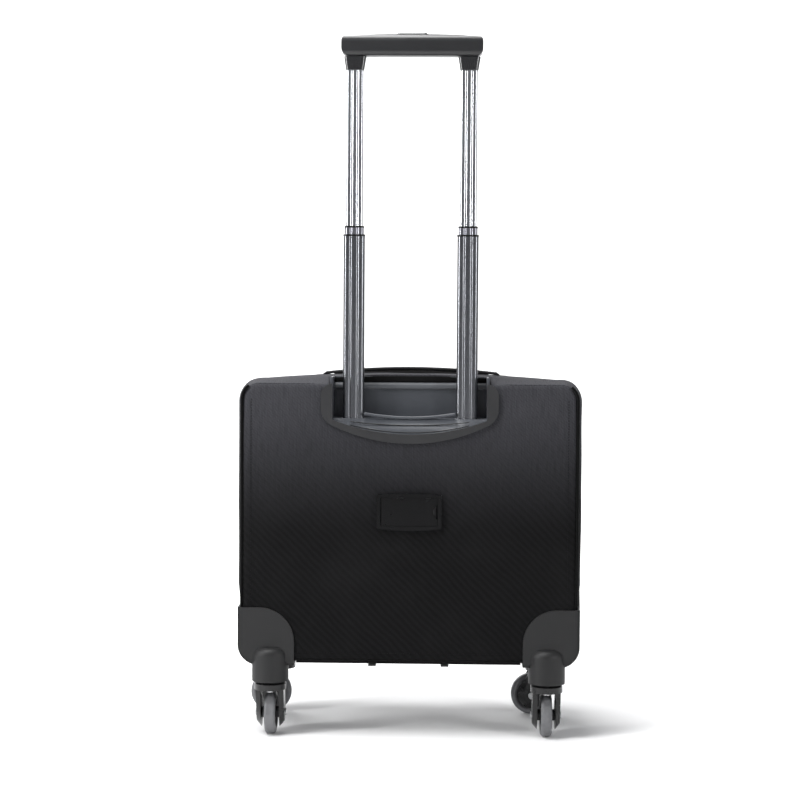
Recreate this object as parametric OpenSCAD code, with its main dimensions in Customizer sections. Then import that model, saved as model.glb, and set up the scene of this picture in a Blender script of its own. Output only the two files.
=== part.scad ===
// Softside upright suitcase on four casters, with a three-stage trolley handle.
// Millimetres. +Z up, z = 0 on the floor, x = 0 on the centre line, y = 0 in the
// middle of the depth. The trolley side faces -Y and the pockets face +Y.
// The trolley handle is drawn pulled out.

/* [Case] */
// Width of the case over its bulging sides
body_w = 424; // [400:1:450]
// Height of the case bottom above the floor
body_z0 = 92; // [88:1:96]
// Height of the top of the rear panel
rear_top = 444; // [440:1:450]
// Height of the middle of the top
crown_z = 452; // [450:1:456]
// Radius of the four corners of the case outline
corner_r = 24; // [18:1:30]
// Thickness of the sewn walls
wall = 3; // [2:0.5:4]

/* [Depth] */
// Distance from the centre plane to the rear panel
rear_y = 107; // [105:1:110]
// Distance from the centre plane to the zip between case and lid
split_y = 70; // [68:1:74]
// Depth of the front lid
lid_d = 21; // [18:1:24]
// Depth of the upper front pocket
upper_pocket_d = 12; // [8:1:14]
// Depth of the lower front pocket
lower_pocket_d = 21; // [16:1:22]

/* [Trolley] */
// Distance between the centres of the two tubes
tube_spacing = 142; // [136:1:146]
// Width of the lower tubes
lower_w = 26.6; // [26:0.1:27]
// Width of the middle tubes
middle_w = 23.6; // [23:0.1:24]
// Width of the upper tubes
upper_w = 20.8; // [20:0.1:21]
// Height of the top of the lower tubes
lower_top = 627.5; // [600:0.5:640]
// Visible length of the middle tubes
middle_show = 10.5; // [8:0.5:30]
// Height of the bottom of the grip's ferrules
ferrule_z = 833; // [820:1:845]
// Length of the grip
grip_len = 176; // [170:1:184]
// Depth of the grip
grip_d = 24; // [20:1:26]

/* [Casters] */
// Distance from the centre line to each caster's kingpin
caster_x = 173.5; // [170:0.5:176]
// Wheel diameter
wheel_d = 54; // [50:1:56]
// Width of the tyre
tyre_w = 14; // [13:0.5:18]
// Distance from the kingpin to the axle
trail = 12; // [8:1:14]
// Radius of the caster domes
dome_r = 23; // [21:1:25]

/* [Hidden] */
$fn = 64;
eps = 0.01;
gap = 0.3;                          // clearance between pieces that move
run = 0.05;                         // radial clearance of a running fit

half_w = body_w / 2;
panel_inset = 3.5;                  // the sides bulge this far past the rear panel
panel_y = -rear_y + wall;           // inner face of the rear panel
board_t = 3;
board_y = panel_y + board_t;        // inner face of the rear board
gusset_y1 = split_y;
lid_y0 = split_y + 1;
lid_y1 = lid_y0 + lid_d;
tray_t = 2;
tray_top = body_z0 + wall + tray_t;
mid_z = (body_z0 + rear_top) / 2;
// Radius of the bowed top, which meets the corners at the height of the rear panel's top
bow_r = ((half_w - corner_r) ^ 2 + (crown_z - rear_top) ^ 2) / (2 * (crown_z - rear_top));
inner_y1 = split_y - 6.5;           // front end of the tray and the lining, behind the hoop

tube_y = -rear_y + 22;              // plane of the trolley tubes
tube_x = tube_spacing / 2;
well_floor = 400;
well_half = 96;                     // half the inner width of the well
well_back = -68;                    // the well's back wall
well_wall = 3;
housing_w = lower_w + 3.4;
housing_d = 19;
housing_wall = 1.4;
housing_z0 = 101;
lower_d = 15.4;
middle_d = 12.4;
upper_d = 9.6;
lower_z0 = 333;
middle_z0 = 346;
middle_top = lower_top + middle_show;
upper_z0 = 556;
upper_top = ferrule_z + 19;
collar_h = 2;
plug_h = 6;
bezel_t = 3;
bezel_half = 110.5;
bezel_arc_r = 220;
bezel_low = 369.5;                    // lowest point of the bezel
lip_arc_r = 270;
lip_low = 381;                      // lowest point of the well's mouth
grip_z0 = 850;
grip_split = 863;
grip_end_top = 874;
grip_mid_top = 878;
rod_r = 2;
button_half = 20;
button_d = 13;

rear_caster_y = -rear_y + 10;
front_caster_y = split_y - 24;
axle_z = wheel_d / 2;
dome_rim = 70;
rear_dome_top = 113;
kingpin_r = 4;
kingpin_top = 88;
fork_z0 = 59;
fork_z1 = 69.5;
fork_gap = 23;
arm_t = 6;
axle_r = 3;
hub_r = 19;
hub_w = 22.4;

guard_t = 2;
guard_w = 71;                       // cover on the rear face
guard_top = 163;
guard_arc = 43;
guard_back = -62;                   // how far the guards run along the sides
rail_x = 45.5;
rail_w = 10;
rail_h = 2.5;
id_z = 284.5;
handle_y = 0;
anchor_x = 115;
anchor_t = 3.2;
leg_x = 111.5;
leg_slot = 3.6;                     // width of the slots that the carry legs slide in

id_w = 81;
id_h = 47;
id_open_w = 71.4;
id_open_h = 35.6;
id_t = 4;
id_hinge_x = -33.8;
id_hinge_y = -rear_y - 2.3;

upper_pocket_z0 = 262;
upper_pocket_z1 = 430;
upper_zip_z = 412;
lower_pocket_z0 = 104;
lower_pocket_z1 = 254;
lower_zip_z = 236;
zip_t = 0.8;
zip_h = 8;
zip_reach = 160;                    // half the length of a pocket's zip
slider_x = 148;                     // where the pocket sliders rest, left of the centre line
slider_z = 300;                     // where the lower slider of the main zip rests
slider_apart = 38;
pivot_out = 3.6;                    // height of a pull's hinge above the zip
lug_gap = 5;

welt_r = 1.2;                       // cord sewn into the lid's cloth hinge
hinge_x = half_w + 1.6;             // axis of the lid's hinge, at the middle of the cord
hinge_y = split_y + 0.5;

// Rounded rectangle about the origin
module rounded(w, h, r) {
    hull_w = w - 2 * r;
    hull_h = h - 2 * r;
    square([w, hull_h], center = true);
    square([hull_w, h], center = true);
    for (sx = [-1, 1], sy = [-1, 1])
        translate([sx * hull_w / 2, sy * hull_h / 2]) circle(r);
}

// Solid across the depth from y0 to y1 with the child as its outline in X and Z
module across(y0, y1) {
    translate([0, y1, 0]) rotate([90, 0, 0]) linear_extrude(y1 - y0) children();
}

// Outline of the case in X and Z, grown by g, with a gently bowed top
module case_outline(g = 0) {
    flat_half = half_w - corner_r;
    translate([0, mid_z])
        rounded(body_w + 2 * g, rear_top - body_z0 + 2 * g, corner_r + g);
    intersection() {
        translate([0, crown_z - bow_r]) circle(bow_r + g, $fn = 720);
        translate([-flat_half, mid_z]) square([2 * flat_half, 200]);
    }
}

// Outline of the rear panel in X and Z, grown by g
module panel_outline(g = 0) {
    translate([0, (body_z0 + 4 + rear_top) / 2])
        rounded(body_w - 2 * panel_inset + 2 * g, rear_top - body_z0 - 4 + 2 * g,
                corner_r - 4 + g);
}

// Space that the closed case fills, without its lid
module case_space() {
    across(-rear_y, panel_y) panel_outline();
    across(panel_y - eps, gusset_y1) case_outline();
}

// Mouth of the handle well in X and Z, grown by g, open at the top
module mouth_outline(g = 0) {
    intersection() {
        translate([-well_half - g, lip_low - 20]) square([2 * (well_half + g), 120]);
        translate([0, lip_low + lip_arc_r]) circle(lip_arc_r + g, $fn = 256);
    }
}

// Outer outline of the bezel: round top corners, straight sides, and an arc below that
// runs into the sides through fillets tangent to both
module bezel_outline() {
    top_r = 15;
    low_r = 24;
    arc_z = bezel_low + bezel_arc_r;
    fillet_x = bezel_half - low_r;
    fillet_z = arc_z - sqrt((bezel_arc_r - low_r) ^ 2 - fillet_x ^ 2);
    meet_x = fillet_x * bezel_arc_r / (bezel_arc_r - low_r);
    translate([-bezel_half, fillet_z]) square([2 * bezel_half, rear_top - top_r - fillet_z]);
    translate([-bezel_half + top_r, fillet_z])
        square([2 * (bezel_half - top_r), rear_top - fillet_z]);
    for (s = [-1, 1]) {
        translate([s * (bezel_half - top_r), rear_top - top_r]) circle(top_r);
        translate([s * fillet_x, fillet_z]) circle(low_r);
    }
    intersection() {
        translate([-meet_x, bezel_low]) square([2 * meet_x, fillet_z + eps - bezel_low]);
        translate([0, arc_z]) circle(bezel_arc_r, $fn = 256);
    }
}

// Both copies of a child at the two tubes
module at_tubes(z = 0) {
    for (s = [-1, 1]) translate([s * tube_x, tube_y, z]) children();
}

// Flat-oval tube section with shallow flutes on its two broad faces
module fluted(w, d) {
    flute_r = 2.2;
    difference() {
        rounded(w, d, d * 0.32);
        for (s = [-1, 1], k = [-1, 1])
            translate([k * w * 0.17, s * (d / 2 + flute_r - 0.55)]) circle(flute_r, $fn = 32);
    }
}

// Tube from z0 to z1 with a wall t thick
module fluted_tube(w, d, t, z0, z1) {
    translate([0, 0, z0]) difference() {
        linear_extrude(z1 - z0) fluted(w, d);
        translate([0, 0, -1]) linear_extrude(z1 - z0 + 2) rounded(w - 2 * t, d - 2 * t, 1.5);
    }
}

// Ring of outer size w by d round an opening of ow by od
module ring_block(w, d, ow, od, h) {
    difference() {
        linear_extrude(h) rounded(w, d, d * 0.3);
        translate([0, 0, -1]) linear_extrude(h + 2) rounded(ow, od, 2);
    }
}

// ---- Case ----

module rear_panel() {
    color([0.11, 0.11, 0.12]) difference() {
        across(-rear_y, panel_y) panel_outline();
        across(-rear_y - 1, panel_y + 1) mouth_outline(well_wall);
    }
}

module rear_board() {
    color([0.2, 0.2, 0.2]) difference() {
        across(panel_y, board_y) translate([0, (tray_top + 440) / 2])
            rounded(400, 440 - tray_top, 14);
        across(panel_y - 1, board_y + 1) mouth_outline(well_wall);
    }
}

module gusset() {
    color([0.13, 0.13, 0.14]) difference() {
        across(panel_y, gusset_y1) case_outline();
        across(panel_y - 1, gusset_y1 + 1) case_outline(-wall);
        translate([-well_half - well_wall, panel_y - 1, well_floor])
            cube([2 * (well_half + well_wall), well_back + well_wall - panel_y + 1, 80]);
        leg_slots();
    }
}

module base_tray() {
    w = 2 * (half_w - corner_r - 1);
    color([0.16, 0.16, 0.17]) translate([0, (board_y + inner_y1) / 2, body_z0 + wall])
        linear_extrude(tray_t) rounded(w, inner_y1 - board_y, 10);
}

module lining() {
    t = 1.5;
    z0 = tray_top + 0.5;
    z1 = 432;
    y0 = well_back + well_wall + 2;
    color([0.30, 0.31, 0.33]) difference() {
        across(y0, inner_y1) translate([0, (z0 + z1) / 2]) rounded(406, z1 - z0, 18);
        across(y0 + t, inner_y1 + 1) translate([0, (z0 + z1) / 2])
            rounded(406 - 2 * t, z1 - z0 - 2 * t, 18 - t);
    }
}

// Spring-steel rod that holds the front edge of the case open
module frame_hoop() {
    rod = 2;
    inset = wall + rod + 0.1;
    bend = corner_r - inset;
    hw = half_w - inset - bend;
    z0 = body_z0 + inset + bend;
    z1 = rear_top - inset - bend;
    y = gusset_y1 - 4;
    color("silver") {
        for (s = [-1, 1]) {
            translate([s * (hw + bend), y, z0]) cylinder(r = rod, h = z1 - z0, $fn = 32);
            for (z = [z0 - bend, z1 + bend])
                translate([-hw, y, z]) rotate([0, 90, 0]) cylinder(r = rod, h = 2 * hw, $fn = 32);
        }
        for (c = [[1, z1, 0], [-1, z1, 90], [-1, z0, 180], [1, z0, 270]])
            translate([c[0] * hw, y, c[1]]) rotate([90, 0, 0]) rotate([0, 0, c[2]])
                rotate_extrude(angle = 90, $fn = 64) translate([bend, 0]) circle(rod, $fn = 32);
    }
}

// ---- Handle well and bezel ----

module handle_bezel() {
    color([0.24, 0.24, 0.26]) across(-rear_y - bezel_t, -rear_y) difference() {
        bezel_outline();
        mouth_outline();
    }
}

module handle_well() {
    color([0.33, 0.34, 0.36]) difference() {
        across(-rear_y, well_back + well_wall) intersection() {
            mouth_outline(well_wall);
            translate([-200, 0]) square([400, crown_z]);
        }
        translate([-well_half, tube_y - 13, well_floor])
            cube([2 * well_half, well_back - tube_y + 13, 80]);
        hull() {
            across(-rear_y - 1, -rear_y) mouth_outline();
            across(tube_y - 13, tube_y - 12) intersection() {
                mouth_outline();
                translate([-200, well_floor]) square([400, 100]);
            }
        }
        at_tubes(well_floor - 60) linear_extrude(60 + eps) rounded(housing_w, housing_d, 5);
    }
}

module housing_tubes() {
    color("gray") at_tubes(housing_z0) difference() {
        linear_extrude(well_floor - housing_z0) rounded(housing_w, housing_d, 5);
        translate([0, 0, -1]) linear_extrude(well_floor)
            rounded(housing_w - 2 * housing_wall, housing_d - 2 * housing_wall, 3.6);
    }
}

module base_bracket() {
    color([0.15, 0.15, 0.15]) difference() {
        translate([0, tube_y, tray_top]) linear_extrude(15) rounded(tube_spacing + 46, 25, 6);
        at_tubes(housing_z0) linear_extrude(40) rounded(housing_w, housing_d, 5);
    }
}

// ---- Identity card holder ----

// Outline with gently bowed top and bottom
module bowed(w, h, bow) {
    arc_r = (w * w / 4 + bow * bow) / (2 * bow);
    intersection() {
        rounded(w, h, 5);
        translate([0, -arc_r + h / 2]) circle(arc_r, $fn = 128);
        translate([0, arc_r - h / 2]) circle(arc_r, $fn = 128);
    }
}

module id_frame() {
    color([0.2, 0.2, 0.21]) difference() {
        across(-rear_y - id_t, -rear_y) translate([0, id_z]) bowed(id_w, id_h, 2.5);
        across(-rear_y - id_t - 1, -rear_y + 1) translate([0, id_z])
            square([id_open_w, id_open_h], center = true);
        translate([id_hinge_x, id_hinge_y, id_z - 20]) cylinder(r = 0.75, h = 40, $fn = 24);
    }
}

module id_card() {
    color([0.75, 0.75, 0.72]) across(-rear_y - 0.6, -rear_y)
        translate([1, id_z]) square([66, 33.5], center = true);
}

module id_cover() {
    t = 1.4;
    h = id_open_h - 2 * gap;
    color([0.22, 0.22, 0.23]) difference() {
        union() {
            translate([id_hinge_x, id_hinge_y, id_z - h / 2]) cylinder(r = 1.3, h = h, $fn = 32);
            translate([id_hinge_x, id_hinge_y, id_z - h / 2 - 1.4])
                cylinder(r = 0.7, h = h + 2.8, $fn = 24);
            translate([id_hinge_x, id_hinge_y - t / 2, id_z - h / 2]) cube([69, t, h]);
        }
        translate([id_hinge_x + 74, id_hinge_y, id_z]) rotate([90, 0, 0])
            cylinder(r = 10, h = 20, center = true);
    }
}

// ---- Corner guards and caster housings ----

// The part of the rear face and sides that one guard covers; s is -1 or 1
module guard_region(s) {
    reach = half_w + guard_t;
    edge = half_w - guard_w + 2;
    across(-rear_y - guard_t, guard_back) scale([s, 1]) {
        translate([edge, 0]) square([reach - edge, guard_top - guard_arc]);
        translate([edge + guard_arc, 0]) square([reach - edge - guard_arc, guard_top]);
        translate([edge + guard_arc, guard_top - guard_arc]) circle(guard_arc);
    }
}

module corner_guard(s) {
    color([0.2, 0.2, 0.21]) difference() {
        union() {
            intersection() {
                guard_region(s);
                union() {
                    across(-rear_y - guard_t, panel_y) panel_outline(guard_t);
                    across(panel_y - 1, guard_back) case_outline(guard_t);
                }
            }
            translate([s * caster_x, rear_caster_y, dome_rim]) {
                cylinder(r = dome_r, h = rear_dome_top - dome_rim - 10);
                translate([0, 0, rear_dome_top - dome_rim - 10])
                    rotate_extrude() intersection() {
                        translate([dome_r - 10, 0]) circle(10);
                        square([dome_r, 10]);
                    }
                translate([0, 0, rear_dome_top - dome_rim - 10]) cylinder(r = dome_r - 10, h = 10);
            }
        }
        case_space();
        translate([s * caster_x, rear_caster_y, 0]) cylinder(r = kingpin_r, h = 100, $fn = 48);
    }
}
module corner_guard_left() { corner_guard(-1); }
module corner_guard_right() { corner_guard(1); }

module front_housing(s) {
    color([0.12, 0.12, 0.12]) translate([s * caster_x, front_caster_y, 0]) difference() {
        union() {
            translate([0, 0, dome_rim]) cylinder(r = dome_r, h = 19);
            translate([-28, -28, 88]) cube([56, 51, body_z0 - 88]);
        }
        cylinder(r = kingpin_r, h = 100, $fn = 48);
    }
}
module front_housing_left() { front_housing(-1); }
module front_housing_right() { front_housing(1); }

module at_casters() {
    for (s = [-1, 1], y = [rear_caster_y, front_caster_y]) translate([s * caster_x, y, 0]) children();
}

module kingpins() {
    color("silver") at_casters() {
        translate([0, 0, 55]) cylinder(r = kingpin_r, h = kingpin_top - 55, $fn = 48);
        translate([0, 0, 55]) cylinder(r = 6, h = fork_z0 - gap - 55, $fn = 48);
    }
}

module skid_rails() {
    color([0.1, 0.1, 0.1]) for (s = [-1, 1])
        translate([s * rail_x - rail_w / 2, -rear_y + 5, body_z0 - rail_h])
            cube([rail_w, rear_y + gusset_y1 - 10, rail_h]);
}

// ---- Carry handle ----

// Two blocks that lie on the bowed top, tilted as it is
module carry_anchors() {
    tilt = asin(anchor_x / bow_r);
    color([0.18, 0.18, 0.19]) difference() {
        for (s = [-1, 1]) translate([0, handle_y, crown_z - bow_r]) rotate([0, s * tilt, 0])
            translate([0, 0, bow_r]) linear_extrude(anchor_t) rounded(18, 36, 5);
        leg_slots();
    }
}

// Slots through the top of the case for the carry handle's legs
module leg_slots() {
    for (s = [-1, 1]) translate([s * leg_x - leg_slot / 2, handle_y - 13.5, crown_z - 10])
        cube([leg_slot, 27, 20]);
}

// Flat strap over the top, with legs that slide down through the anchors
module carry_handle() {
    strap_top = 462.2;
    strap_t = 3.2;
    arc_r = 970;
    leg_z = 434;
    flange_t = 1.6;
    color([0.12, 0.12, 0.13]) {
        intersection() {
            translate([-leg_x - 1.5, handle_y - 13, crown_z - 5]) cube([2 * leg_x + 3, 26, 20]);
            across(handle_y - 13, handle_y + 13) difference() {
                translate([0, strap_top - arc_r]) circle(arc_r, $fn = 720);
                translate([0, strap_top - arc_r]) circle(arc_r - strap_t, $fn = 720);
            }
        }
        for (s = [-1, 1]) {
            translate([s * leg_x - 1.5, handle_y - 13, leg_z]) cube([3, 26, 20]);
            translate([s * leg_x - 4, handle_y - 13, leg_z]) cube([8, 26, flange_t]);
        }
    }
}

// ---- Front lid ----

module lid_shell() {
    color([0.13, 0.13, 0.14]) difference() {
        across(lid_y0, lid_y1) case_outline();
        across(lid_y0 - 1, lid_y1 - wall) case_outline(-wall);
    }
}

// Cord and tape of the lid's cloth hinge, sewn along the straight part of the case's right side
module hinge_welt() {
    tape_w = 8;
    z0 = body_z0 + corner_r + 4;
    z1 = rear_top - corner_r;
    color([0.1, 0.1, 0.1]) {
        translate([hinge_x, hinge_y, z0]) cylinder(r = welt_r, h = z1 - z0, $fn = 32);
        translate([half_w, split_y - tape_w, z0]) cube([welt_r, tape_w - 0.2, z1 - z0]);
    }
}

// Filled pocket with chamfered edges, on the lid's face
module pocket(w, z0, z1, d) {
    chamfer = 5;
    hull() {
        across(lid_y1, lid_y1 + d - chamfer) translate([0, (z0 + z1) / 2])
            rounded(w, z1 - z0, 16);
        across(lid_y1, lid_y1 + d) translate([0, (z0 + z1) / 2])
            rounded(w - 2 * chamfer, z1 - z0 - 2 * chamfer, 11);
    }
}

module upper_pocket() {
    color([0.12, 0.12, 0.13]) pocket(380, upper_pocket_z0, upper_pocket_z1, upper_pocket_d);
}

module lower_pocket() {
    color([0.12, 0.12, 0.13]) pocket(396, lower_pocket_z0, lower_pocket_z1, lower_pocket_d);
}

module pocket_zips() {
    color("black") for (p = [[upper_zip_z, upper_pocket_d], [lower_zip_z, lower_pocket_d]])
        translate([-zip_reach, lid_y1 + p[1], p[0] - zip_h / 2]) cube([2 * zip_reach, zip_t, zip_h]);
}

// ---- Zip sliders, drawn on a zip along X with their outer face towards +Y ----

// turned: the zip runs along Z instead of X, and the pull still hangs down
module slider_body(turned = false) {
    color("dimgray") {
        translate([0, gap, 0]) rotate([-90, 0, 0]) linear_extrude(1.9)
            rounded(turned ? 9 : 15, turned ? 15 : 9, 3);
        difference() {
            for (s = [-1, 1]) translate([s * (lug_gap / 2 + 0.6) - 0.6, gap + 1.5, -2])
                cube([1.2, pivot_out, 4]);
            translate([-10, pivot_out, 0]) rotate([0, 90, 0]) cylinder(r = 0.8, h = 20, $fn = 24);
        }
    }
}

module pull_body() {
    color("dimgray") translate([0, pivot_out, 0]) {
        rotate([0, 90, 0]) cylinder(r = 1.1, h = lug_gap - 2 * gap, center = true, $fn = 32);
        rotate([0, 90, 0]) cylinder(r = 0.75, h = lug_gap + 2, center = true, $fn = 24);
        translate([-1.8, -0.8, -8]) cube([3.6, 1.6, 8]);
        translate([0, -0.8, -17]) rotate([-90, 0, 0]) linear_extrude(1.6) rounded(8, 22, 3);
    }
}

// On the case's left side the zip runs along Z and the outer face is towards -X
module on_side(z) {
    translate([-half_w, split_y + 0.5, z]) rotate([0, 0, 90]) children();
}
module slider_case_lower() { on_side(slider_z) slider_body(turned = true); }
module slider_case_upper() { on_side(slider_z + slider_apart) slider_body(turned = true); }
module pull_case_lower() { on_side(slider_z) pull_body(); }
module pull_case_upper() { on_side(slider_z + slider_apart) pull_body(); }

module on_upper_pocket() {
    translate([-slider_x, lid_y1 + upper_pocket_d + zip_t, upper_zip_z]) children();
}
module on_lower_pocket() {
    translate([-slider_x, lid_y1 + lower_pocket_d + zip_t, lower_zip_z]) children();
}
module slider_upper_pocket() { on_upper_pocket() slider_body(); }
module pull_upper_pocket() { on_upper_pocket() pull_body(); }
module slider_lower_pocket() { on_lower_pocket() slider_body(); }
module pull_lower_pocket() { on_lower_pocket() pull_body(); }

// ---- Trolley handle ----

module lower_tubes() {
    color([0.42, 0.42, 0.46]) difference() {
        at_tubes() fluted_tube(lower_w, lower_d, 1.2, lower_z0, lower_top);
        for (s = [-1, 1], k = [0:2]) translate([s * (tube_x - lower_w / 2), tube_y, lower_top - 8 - 7 * k])
            rotate([0, 90, 0]) cylinder(r = 1.5, h = 6, center = true, $fn = 24);
    }
}

module lower_bushes() {
    color([0.05, 0.05, 0.05]) {
        at_tubes(lower_top) ring_block(lower_w + 0.8, lower_d + 0.8, middle_w + 2 * gap,
                                       middle_d + 2 * gap, collar_h);
        at_tubes(lower_z0 - plug_h) linear_extrude(plug_h) rounded(lower_w + 0.4, lower_d + 0.6, 3.4);
    }
}

module middle_tubes() {
    color([0.5, 0.5, 0.52]) at_tubes() fluted_tube(middle_w, middle_d, 1.1, middle_z0, middle_top);
}

module middle_bushes() {
    color([0.05, 0.05, 0.05]) {
        at_tubes(middle_top) ring_block(middle_w + 0.8, middle_d + 0.8, upper_w + 2 * gap,
                                        upper_d + 2 * gap, collar_h);
        at_tubes(middle_z0 - plug_h) linear_extrude(plug_h) rounded(middle_w, middle_d, 2);
    }
}

module upper_tubes() {
    color([0.75, 0.75, 0.77]) at_tubes() fluted_tube(upper_w, upper_d, 1, upper_z0, upper_top);
}

// End view of the grip, rounder above than below
module grip_section(h) {
    intersection() {
        rounded(grip_d, h, 11);
        translate([-grip_d, 0]) square(2 * grip_d);
    }
    intersection() {
        rounded(grip_d, h, 8);
        translate([-grip_d, 1 - 2 * grip_d]) square(2 * grip_d);
    }
}

// Whole outer form of the grip: a rounded bar with a gently bowed top
module grip_form() {
    h = grip_mid_top - grip_z0;
    bow = grip_mid_top - grip_end_top;
    arc_r = (grip_len * grip_len / 4 + bow * bow) / (2 * bow);
    intersection() {
        across(tube_y - grip_d / 2, tube_y + grip_d / 2) intersection() {
            translate([0, grip_z0 + h / 2]) rounded(grip_len, h, 10);
            translate([0, grip_mid_top - arc_r]) circle(arc_r, $fn = 360);
        }
        translate([-grip_len / 2 - 1, tube_y, grip_z0 + h / 2]) rotate([90, 0, 90])
            linear_extrude(grip_len + 2) grip_section(h);
    }
}

module grip_cavity() {
    translate([-tube_x - 5, tube_y - 6, 853.5]) cube([tube_spacing + 10, 12, 14]);
}

// Tapered sleeve from a tube up to the underside of the grip
module ferrule() {
    h = grip_z0 - ferrule_z;
    hull() {
        linear_extrude(1) rounded(upper_w + 1.8, upper_d + 4, 4, $fn = 32);
        translate([0, 0, h - 1]) linear_extrude(1) rounded(28, 15, 5, $fn = 32);
    }
}

// Sockets for the tops of the upper tubes, with a way through for the push rods
module tube_sockets() {
    at_tubes(ferrule_z - 1) linear_extrude(upper_top - ferrule_z + 1)
        rounded(upper_w, upper_d, upper_d * 0.32);
    at_tubes(ferrule_z) cylinder(r = rod_r + 0.5, h = 30, $fn = 32);
}

module grip_ferrules() {
    color([0.07, 0.07, 0.08]) difference() {
        at_tubes(ferrule_z) ferrule();
        tube_sockets();
    }
}

module grip_lower() {
    color([0.09, 0.09, 0.10]) difference() {
        intersection() {
            grip_form();
            translate([-100, tube_y - 20, grip_z0 - 5]) cube([200, 40, grip_split - grip_z0 + 5]);
        }
        grip_cavity();
        tube_sockets();
    }
}

module grip_upper() {
    color([0.11, 0.11, 0.12]) difference() {
        intersection() {
            grip_form();
            translate([-100, tube_y - 20, grip_split]) cube([200, 40, 30]);
        }
        grip_cavity();
        translate([0, tube_y, grip_split - 1]) linear_extrude(30)
            rounded(2 * (button_half + gap), button_d + 2 * gap, 4);
    }
}

module release_button() {
    color([0.1, 0.1, 0.11]) translate([0, tube_y, 0]) {
        translate([0, 0, 861]) linear_extrude(17) rounded(2 * button_half, button_d - 2, 3.5);
        hull() {
            translate([0, 0, 876]) linear_extrude(1) rounded(2 * button_half, button_d, 4);
            translate([0, 0, 879]) linear_extrude(0.6)
                rounded(2 * button_half - 5, button_d - 4, 3);
        }
    }
}

module push_rods() {
    color("silver") {
        at_tubes(565) cylinder(r = rod_r, h = 292.5, $fn = 32);
        translate([-tube_x - 3, tube_y - 4, 857]) cube([tube_spacing + 6, 8, 4]);
    }
}

// ---- Casters, drawn at their kingpin with the wheel trailing towards +Y ----

// Moves a child to one caster; the front pair trail towards -X
module at_caster(s, front) {
    translate([s * caster_x, front ? front_caster_y : rear_caster_y, 0])
        rotate([0, 0, front ? 90 : 0]) children();
}

module fork() {
    top_r = 20;
    inner = fork_gap / 2;
    color([0.1, 0.1, 0.1]) difference() {
        union() {
            translate([0, 0, fork_z0]) cylinder(r = top_r, h = fork_z1 - fork_z0 - 3);
            translate([0, 0, fork_z1 - 3]) cylinder(r1 = top_r, r2 = top_r - 3, h = 3);
            for (s = [-1, 1]) hull() {
                translate([s * inner, trail, axle_z]) rotate([0, s * 90, 0])
                    cylinder(r1 = 18, r2 = 11, h = arm_t, $fn = 48);
                translate([s * (inner + arm_t / 2) - arm_t / 2, -9, fork_z0])
                    cube([arm_t, 22, 2]);
            }
        }
        translate([-inner, trail - 40, 0]) cube([fork_gap, 80, fork_z0]);
        translate([0, 0, fork_z0 - 20]) cylinder(r = kingpin_r + run, h = 60, $fn = 48);
        translate([0, trail, axle_z]) rotate([0, 90, 0])
            cylinder(r = axle_r + run, h = 60, center = true, $fn = 48);
    }
}

module axle() {
    color("silver") translate([0, trail, axle_z]) rotate([0, 90, 0]) {
        cylinder(r = axle_r, h = fork_gap + 2 * arm_t, center = true, $fn = 48);
        for (s = [-1, 1]) translate([0, 0, s * (fork_gap / 2 + arm_t + 0.8)])
            cylinder(r = 4.5, h = 1.6, center = true, $fn = 48);
    }
}

module hub() {
    color([0.25, 0.25, 0.26]) translate([0, trail, axle_z]) rotate([0, 90, 0]) difference() {
        union() {
            cylinder(r = hub_r, h = 12, center = true);
            cylinder(r = 7, h = hub_w, center = true);
        }
        cylinder(r = axle_r + run, h = 40, center = true, $fn = 48);
        for (s = [-1, 1]) translate([0, 0, s * 8.5]) rotate_extrude()
            translate([9.5, -4]) square([7, 8]);
    }
}

module tyre() {
    shoulder = 4;
    r = wheel_d / 2;
    color([0.42, 0.42, 0.43]) translate([0, trail, axle_z]) rotate([0, 90, 0])
        rotate_extrude($fn = 96) {
            translate([hub_r, -tyre_w / 2]) square([r - shoulder - hub_r, tyre_w]);
            translate([hub_r, -tyre_w / 2 + shoulder])
                square([r - hub_r, tyre_w - 2 * shoulder]);
            for (s = [-1, 1]) translate([r - shoulder, s * (tyre_w / 2 - shoulder)])
                circle(shoulder, $fn = 48);
        }
}

module fork_rear_left() { at_caster(-1, false) fork(); }
module axle_rear_left() { at_caster(-1, false) axle(); }
module hub_rear_left() { at_caster(-1, false) hub(); }
module tyre_rear_left() { at_caster(-1, false) tyre(); }
module fork_rear_right() { at_caster(1, false) fork(); }
module axle_rear_right() { at_caster(1, false) axle(); }
module hub_rear_right() { at_caster(1, false) hub(); }
module tyre_rear_right() { at_caster(1, false) tyre(); }
module fork_front_left() { at_caster(-1, true) fork(); }
module axle_front_left() { at_caster(-1, true) axle(); }
module hub_front_left() { at_caster(-1, true) hub(); }
module tyre_front_left() { at_caster(-1, true) tyre(); }
module fork_front_right() { at_caster(1, true) fork(); }
module axle_front_right() { at_caster(1, true) axle(); }
module hub_front_right() { at_caster(1, true) hub(); }
module tyre_front_right() { at_caster(1, true) tyre(); }

rear_panel();
gusset();
rear_board();
base_tray();
lining();
frame_hoop();
handle_bezel();
handle_well();
housing_tubes();
base_bracket();
skid_rails();
id_frame();
id_card();
id_cover();
corner_guard_left();
corner_guard_right();
front_housing_left();
front_housing_right();
kingpins();
carry_anchors();
carry_handle();
hinge_welt();
lid_shell();
upper_pocket();
lower_pocket();
pocket_zips();
lower_tubes();
lower_bushes();
middle_tubes();
middle_bushes();
upper_tubes();
grip_ferrules();
grip_lower();
grip_upper();
release_button();
push_rods();
fork_rear_left();
axle_rear_left();
hub_rear_left();
tyre_rear_left();
fork_rear_right();
axle_rear_right();
hub_rear_right();
tyre_rear_right();
fork_front_left();
axle_front_left();
hub_front_left();
tyre_front_left();
fork_front_right();
axle_front_right();
hub_front_right();
tyre_front_right();
slider_case_lower();
pull_case_lower();
slider_case_upper();
pull_case_upper();
slider_upper_pocket();
pull_upper_pocket();
slider_lower_pocket();
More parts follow.
